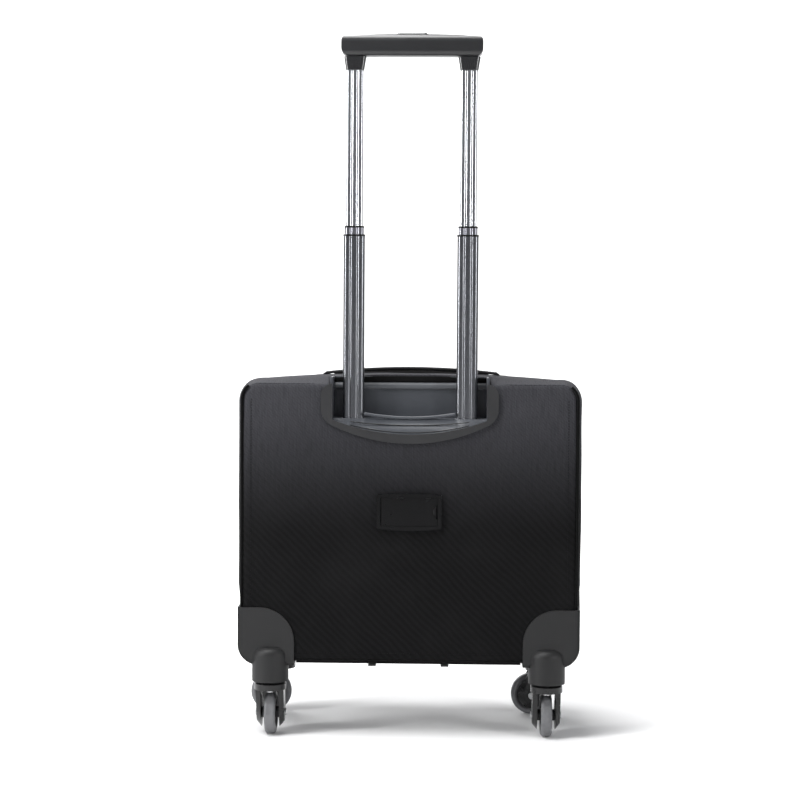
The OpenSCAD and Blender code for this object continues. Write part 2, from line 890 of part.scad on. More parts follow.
pull_lower_pocket();
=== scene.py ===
"""Looks of a softside upright suitcase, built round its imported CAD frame.

Metres, +Z up. The trolley side faces -Y, the pockets face +Y.
"""
import math

import bmesh
import bpy
import numpy as np
from mathutils import Matrix, Vector, noise


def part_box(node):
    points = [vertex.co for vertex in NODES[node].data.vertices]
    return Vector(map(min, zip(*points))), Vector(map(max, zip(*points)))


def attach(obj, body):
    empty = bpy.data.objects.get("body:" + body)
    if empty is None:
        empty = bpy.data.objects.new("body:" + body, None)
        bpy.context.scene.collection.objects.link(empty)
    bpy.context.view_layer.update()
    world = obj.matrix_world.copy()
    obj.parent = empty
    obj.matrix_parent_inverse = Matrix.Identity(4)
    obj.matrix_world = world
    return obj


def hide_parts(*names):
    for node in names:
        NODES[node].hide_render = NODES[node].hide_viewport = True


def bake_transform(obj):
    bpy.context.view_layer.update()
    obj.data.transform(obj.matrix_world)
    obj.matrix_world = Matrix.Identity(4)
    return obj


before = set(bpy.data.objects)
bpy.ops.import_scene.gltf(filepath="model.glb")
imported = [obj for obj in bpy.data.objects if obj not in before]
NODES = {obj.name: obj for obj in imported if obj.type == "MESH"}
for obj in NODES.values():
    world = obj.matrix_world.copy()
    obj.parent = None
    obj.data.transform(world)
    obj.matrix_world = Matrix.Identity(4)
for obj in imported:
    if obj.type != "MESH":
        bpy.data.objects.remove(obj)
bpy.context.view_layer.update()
scene = bpy.context.scene
MM = 0.001

# ---- Places, read from the CAD frame ----

CASE_LO, CASE_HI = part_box("gusset")
PANEL_LO, PANEL_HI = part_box("rear_panel")
LID_LO, LID_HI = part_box("lid_shell")
LINING_LO, LINING_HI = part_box("lining")
WELL_LO, WELL_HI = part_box("handle_well")
BEZEL_LO, BEZEL_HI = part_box("handle_bezel")
GUARD_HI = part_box("corner_guard_left")[1]
ID_LO, ID_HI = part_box("id_frame")
HALF_W = CASE_HI.x
REAR = PANEL_LO.y
FRONT = CASE_HI.y
CORNER = 24 * MM
SHOULDER = PANEL_HI.z               # height where the bowed top meets the corners
CROWN = CASE_HI.z
BOTTOM = CASE_LO.z


# ---- Shapes in X and Z ----

RUN_ACROSS = 376 * MM               # these two lengths set how many points a side gets
RUN_UP = 310 * MM
CORNER_STEPS = 10


def loop_points(half, low, shoulder, crown, radius, step):
    """Closed outline with round corners and a bowed top, anticlockwise seen from the front.

    The four sides and four corners keep their point counts whatever their size, so two
    outlines of this kind can be mixed point by point.
    """
    flat = half - radius
    across = round(RUN_ACROSS / step)
    up = round(RUN_UP / step)
    points = []

    def corner(x, z, start):
        for k in range(CORNER_STEPS):
            a = start + math.pi / 2 * k / CORNER_STEPS
            points.append((x + radius * math.cos(a), z + radius * math.sin(a)))

    for k in range(across):
        points.append((-flat + 2 * flat * k / across, low))
    corner(flat, low + radius, -math.pi / 2)
    for k in range(up):
        points.append((half, low + radius + (shoulder - low - 2 * radius) * k / up))
    corner(flat, shoulder - radius, 0)
    for k in range(across):
        x = flat - 2 * flat * k / across
        points.append((x, shoulder + (crown - shoulder) * (1 - (x / flat) ** 2)))
    corner(-flat, shoulder - radius, math.pi / 2)
    for k in range(up):
        points.append((-half, shoulder - radius - (shoulder - low - 2 * radius) * k / up))
    corner(-flat, low + radius, math.pi)
    return np.array(points)


def loop_normals(points):
    """Outward unit normals of a closed anticlockwise outline."""
    t = directions(points, closed=True)
    return np.stack([t[:, 1], -t[:, 0]], 1)


def loop_length(points):
    """Distance along a closed outline from its first point to each point."""
    steps = np.linalg.norm(np.roll(points, -1, 0) - points, axis=1)
    return np.concatenate([[0], np.cumsum(steps)[:-1]])


def sd_round(x, z, half, low, high, radius):
    """Signed distance to a rounded rectangle, negative inside."""
    qx = np.abs(x) - (half - radius)
    qz = np.abs(z - (low + high) / 2) - ((high - low) / 2 - radius)
    outside = np.hypot(np.maximum(qx, 0), np.maximum(qz, 0))
    return outside + np.minimum(np.maximum(qx, qz), 0) - radius


def sd_loop(x, z, loop):
    """Signed distance to a closed outline given as points, negative inside."""
    shape = x.shape
    p = np.stack([x.ravel(), z.ravel()], 1)[:, None, :]
    a = loop[None]
    b = np.roll(loop, -1, 0)[None]
    ab = b - a
    t = np.clip(((p - a) * ab).sum(2) / (ab * ab).sum(2), 0, 1)
    nearest = np.linalg.norm(p - a - ab * t[:, :, None], axis=2).min(1)
    crosses = (a[:, :, 1] > p[:, :, 1]) != (b[:, :, 1] > p[:, :, 1])
    rise = np.where(ab[:, :, 1] == 0, 1, ab[:, :, 1])
    left = p[:, :, 0] < a[:, :, 0] + (p[:, :, 1] - a[:, :, 1]) * ab[:, :, 0] / rise
    inside = (crosses & left).sum(1) % 2 == 1
    return np.where(inside, -nearest, nearest).reshape(shape)


MOUTH_HALF = (WELL_HI.x - WELL_LO.x) / 2
MOUTH_ARC = 273 * MM


def sd_mouth(x, z):
    """Signed distance to the mouth of the handle well: straight sides over an arc."""
    arc = np.hypot(x, z - (WELL_LO.z + MOUTH_ARC)) - MOUTH_ARC
    return np.maximum(np.abs(x) - MOUTH_HALF, arc)


def ease(t):
    t = np.clip(t, 0, 1)
    return t * t * (3 - 2 * t)


def directions(path, closed=False):
    """Unit direction of travel at each point of a path."""
    if closed:
        tangent = np.roll(path, -1, 0) - np.roll(path, 1, 0)
    else:
        tangent = np.gradient(path, axis=0)
    return tangent / np.linalg.norm(tangent, axis=1)[:, None]


def run_length(path):
    """Distance along an open path from its first point to each point."""
    return np.concatenate([[0], np.cumsum(np.linalg.norm(np.diff(path, axis=0), axis=1))])


def at_depth(flat, y):
    """Points (x, z) set at depth y."""
    return np.stack([flat[:, 0], y, flat[:, 1]], 1)


# ---- Mesh helpers ----

def new_object(name, points, faces, material, smooth=True):
    mesh = bpy.data.meshes.new(name)
    mesh.from_pydata([tuple(map(float, p)) for p in points], [],
                     [tuple(map(int, f)) for f in faces])
    mesh.polygons.foreach_set("use_smooth", [smooth] * len(mesh.polygons))
    mesh.materials.append(material)
    mesh.update()
    obj = bpy.data.objects.new(name, mesh)
    scene.collection.objects.link(obj)
    return obj


def set_cloth(obj, coords):
    """Gives each point its place on the cloth, in metres, which the weave follows."""
    flat = np.zeros((len(obj.data.vertices), 3), np.float32)
    flat[:, :2] = np.asarray(coords, np.float32)[:, :2]
    layer = obj.data.attributes.new("cloth", "FLOAT_VECTOR", "POINT")
    layer.data.foreach_set("vector", flat.ravel())


def wrap_cloth(obj):
    """Cloth coordinates for a padded piece that faces along Y."""
    co = np.array([v.co for v in obj.data.vertices])
    mid = (co.min(0) + co.max(0)) / 2
    rel = co - mid
    u = co[:, 0] + np.clip(rel[:, 0] / 0.02, -1, 1) * rel[:, 1]
    v = co[:, 2] + np.clip(rel[:, 2] / 0.02, -1, 1) * rel[:, 1]
    set_cloth(obj, np.stack([u, v], 1))


def solidify(obj, thickness):
    m = obj.modifiers.new("thickness", "SOLIDIFY")
    m.thickness = thickness
    m.offset = -1
    m.use_even_offset = True


def plate(distance, x_range, z_range, cell):
    """Grid of cells inside distance < 0, its rim pulled onto the outline.

    Returns points (x, z) and faces whose normal is -Y.
    """
    nx = int(round((x_range[1] - x_range[0]) / cell)) + 1
    nz = int(round((z_range[1] - z_range[0]) / cell)) + 1
    x, z = np.meshgrid(np.linspace(*x_range, nx), np.linspace(*z_range, nz), indexing="ij")
    d = distance(x, z)
    h = cell * 0.05
    gx = (distance(x + h, z) - distance(x - h, z)) / (2 * h)
    gz = (distance(x, z + h) - distance(x, z - h)) / (2 * h)
    reach = 0.5 * cell / np.maximum(np.abs(gx) + np.abs(gz), 0.3)
    snap = np.abs(d) < reach
    x = np.where(snap, x - d * gx, x)
    z = np.where(snap, z - d * gz, z)
    inside = snap | (d < 0)
    index = -np.ones((nx, nz), int)
    index[inside] = np.arange(inside.sum())
    faces = []
    for i in range(nx - 1):
        for j in range(nz - 1):
            corners = [index[i, j], index[i + 1, j], index[i + 1, j + 1], index[i, j + 1]]
            corners = [c for c in corners if c >= 0]
            if len(corners) >= 3:
                faces.append(corners)
    return np.stack([x[inside], z[inside]], 1), faces


def grid_faces(rows, columns, closed):
    """Faces of a grid of points stored row by row, closed along each row if asked."""
    faces = []
    last = columns if closed else columns - 1
    for j in range(rows - 1):
        for i in range(last):
            k = (i + 1) % columns
            faces.append((j * columns + i, (j + 1) * columns + i,
                          (j + 1) * columns + k, j * columns + k))
    return faces


def face_out(obj):
    """Turns the faces of closed pieces outwards."""
    work = bmesh.new()
    work.from_mesh(obj.data)
    bmesh.ops.recalc_face_normals(work, faces=work.faces)
    work.to_mesh(obj.data)
    work.free()
    return obj


def tube(name, path, radius, material, sides=8, closed=False):
    """Round cord that follows a path, with closed ends."""
    path = np.asarray(path, float)
    n = len(path)
    normal = np.array((0.0, 1.0, 0.0))
    points = []
    for p, t in zip(path, directions(path, closed)):
        side = normal - t * normal.dot(t)
        side /= np.linalg.norm(side)
        other = np.cross(t, side)
        for k in range(sides):
            a = 2 * math.pi * k / sides
            points.append(p + radius * (math.cos(a) * side + math.sin(a) * other))
    faces = []
    for j in range(n if closed else n - 1):
        for k in range(sides):
            m = (k + 1) % sides
            nj = (j + 1) % n
            faces.append((j * sides + k, nj * sides + k, nj * sides + m, j * sides + m))
    if not closed:
        faces.append(tuple(range(sides)))
        faces.append(tuple(reversed(range((n - 1) * sides, n * sides))))
    obj = face_out(new_object(name, points, faces, material))
    around = 2 * math.pi * radius
    set_cloth(obj, [(s, around * k / sides) for s in run_length(path) for k in range(sides)])
    return obj


def strap(name, path, width, thick, across):
    """Flat webbing with rounded edges along a path; across points over its width."""
    path = np.asarray(path, float)
    across = np.array(across, float)
    flat = width / 2 - thick / 2
    ring = [(x, thick / 2) for x in np.linspace(-flat, flat, 9)]
    ring += [(flat + thick / 2 * math.sin(a), thick / 2 * math.cos(a)) for a in (0.8, 1.57, 2.34)]
    ring += [(x, -thick / 2) for x in np.linspace(flat, -flat, 9)]
    ring += [(-flat - thick / 2 * math.sin(a), -thick / 2 * math.cos(a))
             for a in (0.8, 1.57, 2.34)]
    points, coords = [], []
    for p, t, s in zip(path, directions(path), run_length(path)):
        normal = np.cross(t, across)
        points += [p + across * u + normal * v for u, v in ring]
        coords += [(s, u) for u, v in ring]
    faces = grid_faces(len(path), len(ring), True)
    faces.append(tuple(range(len(ring))))
    faces.append(tuple(range((len(path) - 1) * len(ring), len(path) * len(ring))))
    obj = face_out(new_object(name, points, faces, WEBBING))
    set_cloth(obj, coords)
    return obj


def place(obj, body):
    """The piece moves with a body."""
    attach(obj, body)


def fabric(name, points, faces, material, coords, thickness, body, stands_for=None):
    """Cloth of one thickness that moves with a body, and may stand for a CAD node."""
    obj = new_object(name, points, faces, material)
    set_cloth(obj, coords)
    solidify(obj, thickness)
    if stands_for:
        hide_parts(stands_for)
    place(obj, body)


def resample(path, step, closed=False):
    """The same path with points a fixed distance apart."""
    path = np.asarray(path, float)
    if closed:
        path = np.vstack([path, path[:1]])
    s = run_length(path)
    count = max(2, int(round(s[-1] / step)) + (0 if closed else 1))
    at = np.linspace(0, s[-1], count, endpoint=not closed)
    return np.stack([np.interp(at, s, path[:, k]) for k in range(path.shape[1])], 1)


def beads(name, path, material, length, width, height, pitch, up, across=False, closed=False):
    """Row of small rounded pieces along a path: stitches, or the teeth of a zip."""
    path = resample(path, pitch, closed)
    ups = np.broadcast_to(np.asarray(up, float), path.shape) if np.ndim(up) == 1 else up(path)
    ring = [(-0.5, 0.55), (-0.3, 1.0), (0.3, 1.0), (0.5, 0.55)]
    points, faces = [], []
    for p, t, n in zip(path, directions(path, closed), ups):
        side = np.cross(n, t)
        along, beside = (side, t) if across else (t, side)
        base = len(points)
        for a, scale in ring:
            for k in range(6):
                angle = math.pi / 3 * k
                points.append(p + along * a * length
                              + beside * math.cos(angle) * width / 2 * scale
                              + n * math.sin(angle) * height / 2 * scale)
        for j in range(3):
            for k in range(6):
                m = (k + 1) % 6
                faces.append((base + 6 * j + k, base + 6 * j + 6 + k,
                              base + 6 * j + 6 + m, base + 6 * j + m))
        faces.append(tuple(base + k for k in range(6)))
        faces.append(tuple(base + 18 + k for k in reversed(range(6))))
    return face_out(new_object(name, points, faces, material))


def ripple(x, y, z, scale, seed):
    """Smooth noise between -1 and 1."""
    return noise.noise(Vector((x / scale + seed, y / scale, z / scale)))


# ---- Materials ----

def new_material(name):
    m = bpy.data.materials.new(name)
    m.use_nodes = True
    tree = m.node_tree
    tree.nodes.clear()
    out = tree.nodes.new("ShaderNodeOutputMaterial")
    shader = tree.nodes.new("ShaderNodeBsdfPrincipled")
    tree.links.new(shader.outputs[0], out.inputs[0])
    return m, tree, shader


def add(tree, kind, **values):
    """New node, with its inputs linked where a value is a socket and set where it isn't."""
    node = tree.nodes.new(kind)
    for key, value in values.items():
        if key in ("operation", "attribute_name"):
            setattr(node, key, value)
    for key, value in values.items():
        socket = None
        if key.startswith("i"):
            socket = node.inputs[int(key[1:])] if key[1:].isdigit() else None
        if socket is None and key in node.inputs:
            socket = node.inputs[key]
        if socket is None:
            continue
        if isinstance(value, bpy.types.NodeSocket):
            tree.links.new(value, socket)
        else:
            socket.default_value = value
    return node


def math_node(tree, operation, a, b=0.0):
    return add(tree, "ShaderNodeMath", operation=operation, i0=a, i1=b).outputs[0]


def mix_colour(tree, factor, a, b):
    """Colour between a and b, by factor."""
    node = tree.nodes.new("ShaderNodeMix")
    node.data_type = "RGBA"
    for socket, value in ((node.inputs[0], factor), (node.inputs[6], a), (node.inputs[7], b)):
        if isinstance(value, bpy.types.NodeSocket):
            tree.links.new(value, socket)
        else:
            socket.default_value = value
    return node.outputs[2]


def noise_node(tree, vector, scale, detail=3.0, rough=0.55):
    n = tree.nodes.new("ShaderNodeTexNoise")
    tree.links.new(vector, n.inputs["Vector"])
    n.inputs["Scale"].default_value = scale
    n.inputs["Detail"].default_value = detail
    n.inputs["Roughness"].default_value = rough
    return n.outputs["Fac"]


def ramp(tree, value, low, high):
    """0 below low, 1 above high, smooth between."""
    n = tree.nodes.new("ShaderNodeMapRange")
    n.interpolation_type = "SMOOTHSTEP"
    tree.links.new(value, n.inputs["Value"])
    n.inputs["From Min"].default_value = low
    n.inputs["From Max"].default_value = high
    return n.outputs["Result"]


def bump(tree, shader, height, distance, strength=1.0):
    n = tree.nodes.new("ShaderNodeBump")
    n.inputs["Strength"].default_value = strength
    n.inputs["Distance"].default_value = distance
    tree.links.new(height, n.inputs["Height"])
    tree.links.new(n.outputs[0], shader.inputs["Normal"])


def object_coords(tree):
    return tree.nodes.new("ShaderNodeTexCoord").outputs["Object"]


def grey(value, blue=0.0):
    return (value, value, value * (1 + blue), 1.0)


def tint(colour, scale, lift=0.0):
    """The colour made darker or lighter, and raised by lift."""
    return tuple(min(1.0, c * scale + lift) for c in colour[:3]) + (1.0,)


def plastic(name, colour, roughness, grain, depth, wear=0.35, coat=0.0, shine=0.3):
    """Moulded plastic: fine grain, cloudy tone, and pale scuffs."""
    m, tree, shader = new_material(name)
    where = object_coords(tree)
    cloud = noise_node(tree, where, 28.0, 4.0)
    scratches = add(tree, "ShaderNodeMapping", Vector=where, Scale=(90.0, 90.0, 900.0))
    scuff = ramp(tree, noise_node(tree, scratches.outputs[0], 1.0, 5.0, 0.6), 0.60, 0.78)
    patches = ramp(tree, noise_node(tree, where, 14.0), 0.48, 0.70)
    scuff = math_node(tree, "MULTIPLY", scuff, patches)
    pale = tint(colour, 2.1, 0.02)
    dark = tint(colour, 0.82)
    light = tint(colour, 1.18)
    base = mix_colour(tree, cloud, dark, light)
    tree.links.new(mix_colour(tree, math_node(tree, "MULTIPLY", scuff, wear), base, pale),
                   shader.inputs["Base Color"])
    rough = math_node(tree, "MULTIPLY_ADD", cloud, 0.12)
    rough.node.inputs[2].default_value = roughness - 0.06
    tree.links.new(math_node(tree, "ADD", rough, math_node(tree, "MULTIPLY", scuff, 0.12)),
                   shader.inputs["Roughness"])
    shader.inputs["Specular IOR Level"].default_value = shine
    shader.inputs["Coat Weight"].default_value = coat
    shader.inputs["Coat Roughness"].default_value = 0.25
    bump(tree, shader, noise_node(tree, where, 1 / grain, 2.0), depth, 0.6)
    return m


def metal(name, colour, roughness, streak=0.06, stretch=(1400.0, 1400.0, 9.0)):
    """Drawn metal: fine streaks along the tube and a slightly uneven polish."""
    m, tree, shader = new_material(name)
    where = object_coords(tree)
    lines = add(tree, "ShaderNodeMapping", Vector=where, Scale=stretch)
    fine = noise_node(tree, lines.outputs[0], 1.0, 3.0)
    smear = noise_node(tree, where, 22.0, 4.0)
    dark = tint(colour, 0.86)
    light = tint(colour, 1.10)
    tree.links.new(mix_colour(tree, fine, dark, light), shader.inputs["Base Color"])
    shader.inputs["Metallic"].default_value = 1.0
    rough = math_node(tree, "MULTIPLY_ADD", fine, streak)
    rough.node.inputs[2].default_value = roughness
    rough = math_node(tree, "ADD", rough, math_node(tree, "MULTIPLY", smear, 0.07))
    tree.links.new(rough, shader.inputs["Roughness"])
    bump(tree, shader, fine, 0.01 * MM, 0.08)
    return m


def cloth(name, colour, pitch, depth, sheen=0.25, twill=True, dust=0.35, roughness=0.82,
          ribs=0.0, painted_top_light=0.0):
    """Woven cloth on the cloth coordinates: threads over and under, dust in the weave, and, where
    asked, painted light that lightens the thread tops towards the top of the case.
    """
    m, tree, shader = new_material(name)
    spot = add(tree, "ShaderNodeAttribute", attribute_name="cloth").outputs["Vector"]
    split = add(tree, "ShaderNodeSeparateXYZ", Vector=spot)
    u = math_node(tree, "MULTIPLY", split.outputs[0], math.pi / pitch)
    v = math_node(tree, "MULTIPLY", split.outputs[1], math.pi / pitch)
    warp = math_node(tree, "ABSOLUTE", math_node(tree, "SINE", u))
    weft = math_node(tree, "ABSOLUTE", math_node(tree, "SINE", v))
    if twill:
        both = math_node(tree, "ADD", u, v)
        over = math_node(tree, "SINE", math_node(tree, "MULTIPLY", both, 0.5))
    else:
        over = math_node(tree, "MULTIPLY",
                         math_node(tree, "SINE", math_node(tree, "MULTIPLY", u, 0.5)),
                         math_node(tree, "SINE", math_node(tree, "MULTIPLY", v, 0.5)))
    over = ramp(tree, over, -0.25, 0.25)
    height = math_node(tree, "ADD", math_node(tree, "MULTIPLY", over, warp),
                       math_node(tree, "MULTIPLY", math_node(tree, "SUBTRACT", 1.0, over),
                                 math_node(tree, "MULTIPLY", weft, 0.85)))
    threads = noise_node(tree, add(tree, "ShaderNodeMapping", Vector=spot,
                                   Scale=(1 / pitch, 40.0, 1.0)).outputs[0], 1.0, 2.0)
    cloud = noise_node(tree, object_coords(tree), 9.0, 5.0)
    dark = tint(colour, 0.45)
    light = tint(colour, 1.35)
    woven = mix_colour(tree, math_node(tree, "MULTIPLY", height, threads), dark, light)
    if ribs:
        sway = math_node(tree, "MULTIPLY", noise_node(tree, spot, 18.0), 9.0)
        slant = math_node(tree, "MULTIPLY", math_node(tree, "ADD", u, v), 0.30)
        rib = math_node(tree, "SINE", math_node(tree, "ADD", slant, sway))
        rib = ramp(tree, math_node(tree, "MULTIPLY", rib, ribs), -1.0, 1.0)
        woven = mix_colour(tree, rib, tint(colour, 0.3), tint(colour, 1.7))
        woven = mix_colour(tree, 0.5, woven, mix_colour(tree, height, dark, light))
    haze = tint(colour, 1.9, 0.004)
    veil = math_node(tree, "MULTIPLY", ramp(tree, cloud, 0.42, 0.72), dust)
    tinted = mix_colour(tree, veil, woven, haze)
    # painted light: thread tops painted lighter towards the top of the case, for the light from
    # above
    if painted_top_light:
        where = add(tree, "ShaderNodeSeparateXYZ", Vector=object_coords(tree))
        high = ramp(tree, where.outputs[2], 0.25, 0.44)
        high = math_node(tree, "MULTIPLY", math_node(tree, "MULTIPLY", high, painted_top_light),
                         ramp(tree, math_node(tree, "MULTIPLY", height, threads), -0.35, 0.6))
        tinted = mix_colour(tree, high, tinted, (0.060, 0.060, 0.068, 1.0))
    tree.links.new(tinted, shader.inputs["Base Color"])
    shader.inputs["Roughness"].default_value = roughness
    shader.inputs["Sheen Weight"].default_value = sheen
    shader.inputs["Sheen Roughness"].default_value = 0.45
    shader.inputs["Specular IOR Level"].default_value = 0.07
    bump(tree, shader, height, depth, 0.75)
    return m


def rubber(name, colour):
    """Cast tyre: fine grain, dirt worn into the tread."""
    m, tree, shader = new_material(name)
    where = object_coords(tree)
    dirt = ramp(tree, noise_node(tree, where, 60.0, 5.0, 0.65), 0.44, 0.72)
    worn = mix_colour(tree, math_node(tree, "MULTIPLY", dirt, 0.55), colour, tint(colour, 0.55))
    tree.links.new(worn, shader.inputs["Base Color"])
    tree.links.new(ramp(tree, noise_node(tree, where, 35.0), -1.2, 2.2), shader.inputs["Roughness"])
    shader.inputs["Specular IOR Level"].default_value = 0.4
    bump(tree, shader, noise_node(tree, where, 900.0, 2.0), 0.08 * MM, 0.5)
    return m


# the shell cloth is painted lighter towards its top, a painted light from above
SHELL = cloth("shell_weave", grey(0.0052, 0.06), 1.5 * MM, 0.45 * MM, sheen=0.02, dust=0.25,
              ribs=0.5, painted_top_light=0.8)
BINDING = cloth("binding_weave", grey(0.004, 0.05), 0.9 * MM, 0.18 * MM, sheen=0.03, twill=False,
                dust=0.15)
LINING = cloth("lining_weave", (0.060, 0.065, 0.080, 1.0), 0.7 * MM, 0.06 * MM, sheen=0.2,
               dust=0.1, roughness=0.6)
WEBBING = cloth("webbing_weave", grey(0.020, 0.05), 1.9 * MM, 0.4 * MM, sheen=0.06)
TAPE = cloth("zip_tape_weave", grey(0.004, 0.05), 0.8 * MM, 0.12 * MM, sheen=0.02, dust=0.1)
THREAD = cloth("thread", grey(0.013, 0.08), 0.4 * MM, 0.05 * MM, sheen=0.02, dust=0.1)
COIL = plastic("zip_coil", grey(0.010), 0.42, 0.5 * MM, 0.02 * MM, 0.2)
GUARD = plastic("guard_plastic", grey(0.0135, 0.03), 0.50, 0.55 * MM, 0.08 * MM, 0.25)
BEZEL = plastic("bezel_plastic", grey(0.021, 0.06), 0.42, 0.5 * MM, 0.06 * MM, 0.2, shine=0.4)
WELL = plastic("well_plastic", (0.050, 0.054, 0.062, 1.0), 0.42, 0.6 * MM, 0.06 * MM, 0.2)
# well plastic painted lighter: a painted highlight for the bevel under the well's crest
WELL_PAINTED_LIT = plastic("well_plastic_painted_lit", (0.070, 0.074, 0.082, 1.0), 0.36, 0.6 * MM, 0.04 * MM, 0.2)
ID_PLASTIC = plastic("id_plastic", grey(0.0030, 0.12), 0.26, 0.5 * MM, 0.03 * MM, 0.15, 0.0, 0.2)
CARD = plastic("card_stock", grey(0.045), 0.6, 0.2 * MM, 0.02 * MM, 0.1)
BUSH = plastic("bush_plastic", grey(0.006), 0.40, 0.5 * MM, 0.03 * MM, 0.1)
GRIP = plastic("grip_plastic", grey(0.014, 0.08), 0.34, 0.35 * MM, 0.05 * MM, 0.12, 0.1, 0.5)
FERRULE = plastic("ferrule_plastic", grey(0.009, 0.08), 0.16, 0.5 * MM, 0.02 * MM, 0.1, 0.7, 0.7)
BUTTON = plastic("button_plastic", grey(0.012, 0.08), 0.28, 0.5 * MM, 0.02 * MM, 0.1, 0.3)
FORK = plastic("fork_plastic", grey(0.007, 0.04), 0.28, 0.6 * MM, 0.04 * MM, 0.2, 0.2)
HUB = plastic("hub_plastic", grey(0.050, 0.05), 0.45, 0.5 * MM, 0.05 * MM, 0.3)
INNER = plastic("inner_plastic", grey(0.020), 0.6, 0.7 * MM, 0.08 * MM, 0.3)
BOARD = plastic("rear_board", grey(0.040), 0.75, 1.2 * MM, 0.10 * MM, 0.1)
TYRE = rubber("tyre_rubber", (0.150, 0.152, 0.158, 1.0))
UPPER = metal("upper_metal", (0.50, 0.51, 0.53, 1.0), 0.10)
MIDDLE = metal("middle_metal", (0.28, 0.28, 0.31, 1.0), 0.22)
LOWER = metal("lower_metal", (0.200, 0.205, 0.220, 1.0), 0.20)
HOUSING = metal("housing_metal", (0.55, 0.55, 0.57, 1.0), 0.32)
STEEL = metal("plated_steel", (0.52, 0.52, 0.53, 1.0), 0.28, stretch=(600.0, 600.0, 600.0))
ZIP_METAL = metal("zip_metal", (0.15, 0.15, 0.16, 1.0), 0.30, stretch=(500.0, 500.0, 500.0))


# ---- CAD pieces: finish and softened edges ----

def finish(names, material, bevel=0.0, angle=38):
    """Gives CAD nodes a material, smooth shading and, where asked, rounded edges."""
    for name in names:
        obj = NODES[name]
        obj.data.materials.clear()
        obj.data.materials.append(material)
        weld = obj.modifiers.new("weld", "WELD")
        weld.merge_threshold = 0.002 * MM
        if bevel:
            soft = obj.modifiers.new("soft_edges", "BEVEL")
            soft.width = bevel
            soft.segments = 3
            soft.limit_method = "ANGLE"
            soft.angle_limit = math.radians(angle)
            soft.harden_normals = True
            soft.use_clamp_overlap = True
        if obj.data.has_custom_normals:
            bpy.context.view_layer.objects.active = obj
            bpy.ops.mesh.customdata_custom_splitnormals_clear()
        obj.data.polygons.foreach_set("use_smooth", [True] * len(obj.data.polygons))
        obj.data.set_sharp_from_angle(angle=math.radians(angle))


CASTERS = ["rear_left", "rear_right", "front_left", "front_right"]
ZIPS = ["case_lower", "case_upper", "upper_pocket", "lower_pocket"]
finish(["handle_bezel"], BEZEL, 1.1 * MM)
finish(["handle_well"], WELL, 0.8 * MM)
finish(["corner_guard_left", "corner_guard_right"], GUARD, 0.9 * MM)
finish(["front_housing_left", "front_housing_right", "carry_anchors", "skid_rails"], GUARD,
       0.8 * MM)
finish(["id_frame"], ID_PLASTIC, 0.9 * MM)
finish(["id_cover"], ID_PLASTIC, 0.5 * MM)
finish(["id_card"], CARD)
finish(["lower_tubes"], LOWER, 0.2 * MM)
finish(["middle_tubes"], MIDDLE, 0.2 * MM)
finish(["upper_tubes"], UPPER, 0.2 * MM)
finish(["lower_bushes", "middle_bushes"], BUSH, 0.4 * MM)
finish(["grip_ferrules"], FERRULE, 0.4 * MM)
finish(["grip_lower", "grip_upper"], GRIP, 0.5 * MM)
finish(["release_button"], BUTTON, 0.5 * MM)
finish(["push_rods", "kingpins", "frame_hoop"], STEEL, 0.2 * MM)
finish(["housing_tubes"], HOUSING, 0.2 * MM)
finish(["base_bracket", "base_tray"], INNER, 0.8 * MM)
finish(["rear_board"], BOARD, 0.4 * MM)
finish(["fork_" + c for c in CASTERS], FORK, 0.9 * MM)
finish(["axle_" + c for c in CASTERS], STEEL, 0.3 * MM)
finish(["hub_" + c for c in CASTERS], HUB, 0.4 * MM)
finish(["tyre_" + c for c in CASTERS], TYRE)
finish(["slider_" + z for z in ZIPS] + ["pull_" + z for z in ZIPS], ZIP_METAL, 0.3 * MM)


# ---- Rear panel ----

def guard_distance(x, z):
    """Distance on the rear face from the nearer corner guard, negative inside it."""
    return np.maximum(-GUARD_HI.x - np.abs(x), z - GUARD_HI.z)


def id_distance(x, z):
    return sd_round(x, z, ID_HI.x, ID_LO.z, ID_HI.z, 5 * MM)


def bezel_distance(x, z):
    return np.maximum(np.abs(x) - BEZEL_HI.x, BEZEL_LO.z - z)


def panel_outline(x, z):
    return sd_round(x, z, PANEL_HI.x, PANEL_LO.z, PANEL_HI.z, 20 * MM)


EDGE_TUCK = 4.2 * MM                # how far the panel's rolled edge turns in


def panel_y(x, z):
    """The rear panel's face: rolled edges and a shallow padded swell between its fittings."""
    edge = -panel_outline(x, z)
    roll = 9 * MM
    t = np.clip(1 - edge / roll, 0, 1)
    tuck = EDGE_TUCK * (1 - np.sqrt(1 - t * t))
    free = ease(edge / (45 * MM)) * ease(id_distance(x, z) / (30 * MM))
    free = free * ease(bezel_distance(x, z) / (30 * MM)) * ease(guard_distance(x, z) / (30 * MM))
    wave = np.array([ripple(a, 0, b, 0.085, 3.1) for a, b in zip(x, z)])
    lean = 1.6 * MM * (1 - ease((PANEL_HI.z - z) / (70 * MM)))
    lean = lean * ease((bezel_distance(x, z) - 2 * MM) / (20 * MM))
    return REAR + tuck + lean - free * (1.6 * MM + 1.1 * MM * wave) + 0.1 * MM


def make_rear_panel():
    def outline(x, z):
        return np.maximum(panel_outline(x, z), -sd_mouth(x, z))
    flat, faces = plate(outline, (-PANEL_HI.x, PANEL_HI.x), (PANEL_LO.z, PANEL_HI.z), 3 * MM)
    y = panel_y(flat[:, 0], flat[:, 1])
    fabric("rear_fabric", at_depth(flat, y), faces, SHELL, flat, 2.2 * MM, "case",
           "rear_panel")


# ---- Case sides ----

STEP = 4 * MM
CASE_LOOP = loop_points(HALF_W, BOTTOM, SHOULDER, CROWN, CORNER, STEP)
PANEL_LOOP = loop_points(PANEL_HI.x, PANEL_LO.z, PANEL_HI.z, PANEL_HI.z, 20 * MM, STEP)
CASE_NORMAL = loop_normals(CASE_LOOP)
CASE_LENGTH = loop_length(CASE_LOOP)


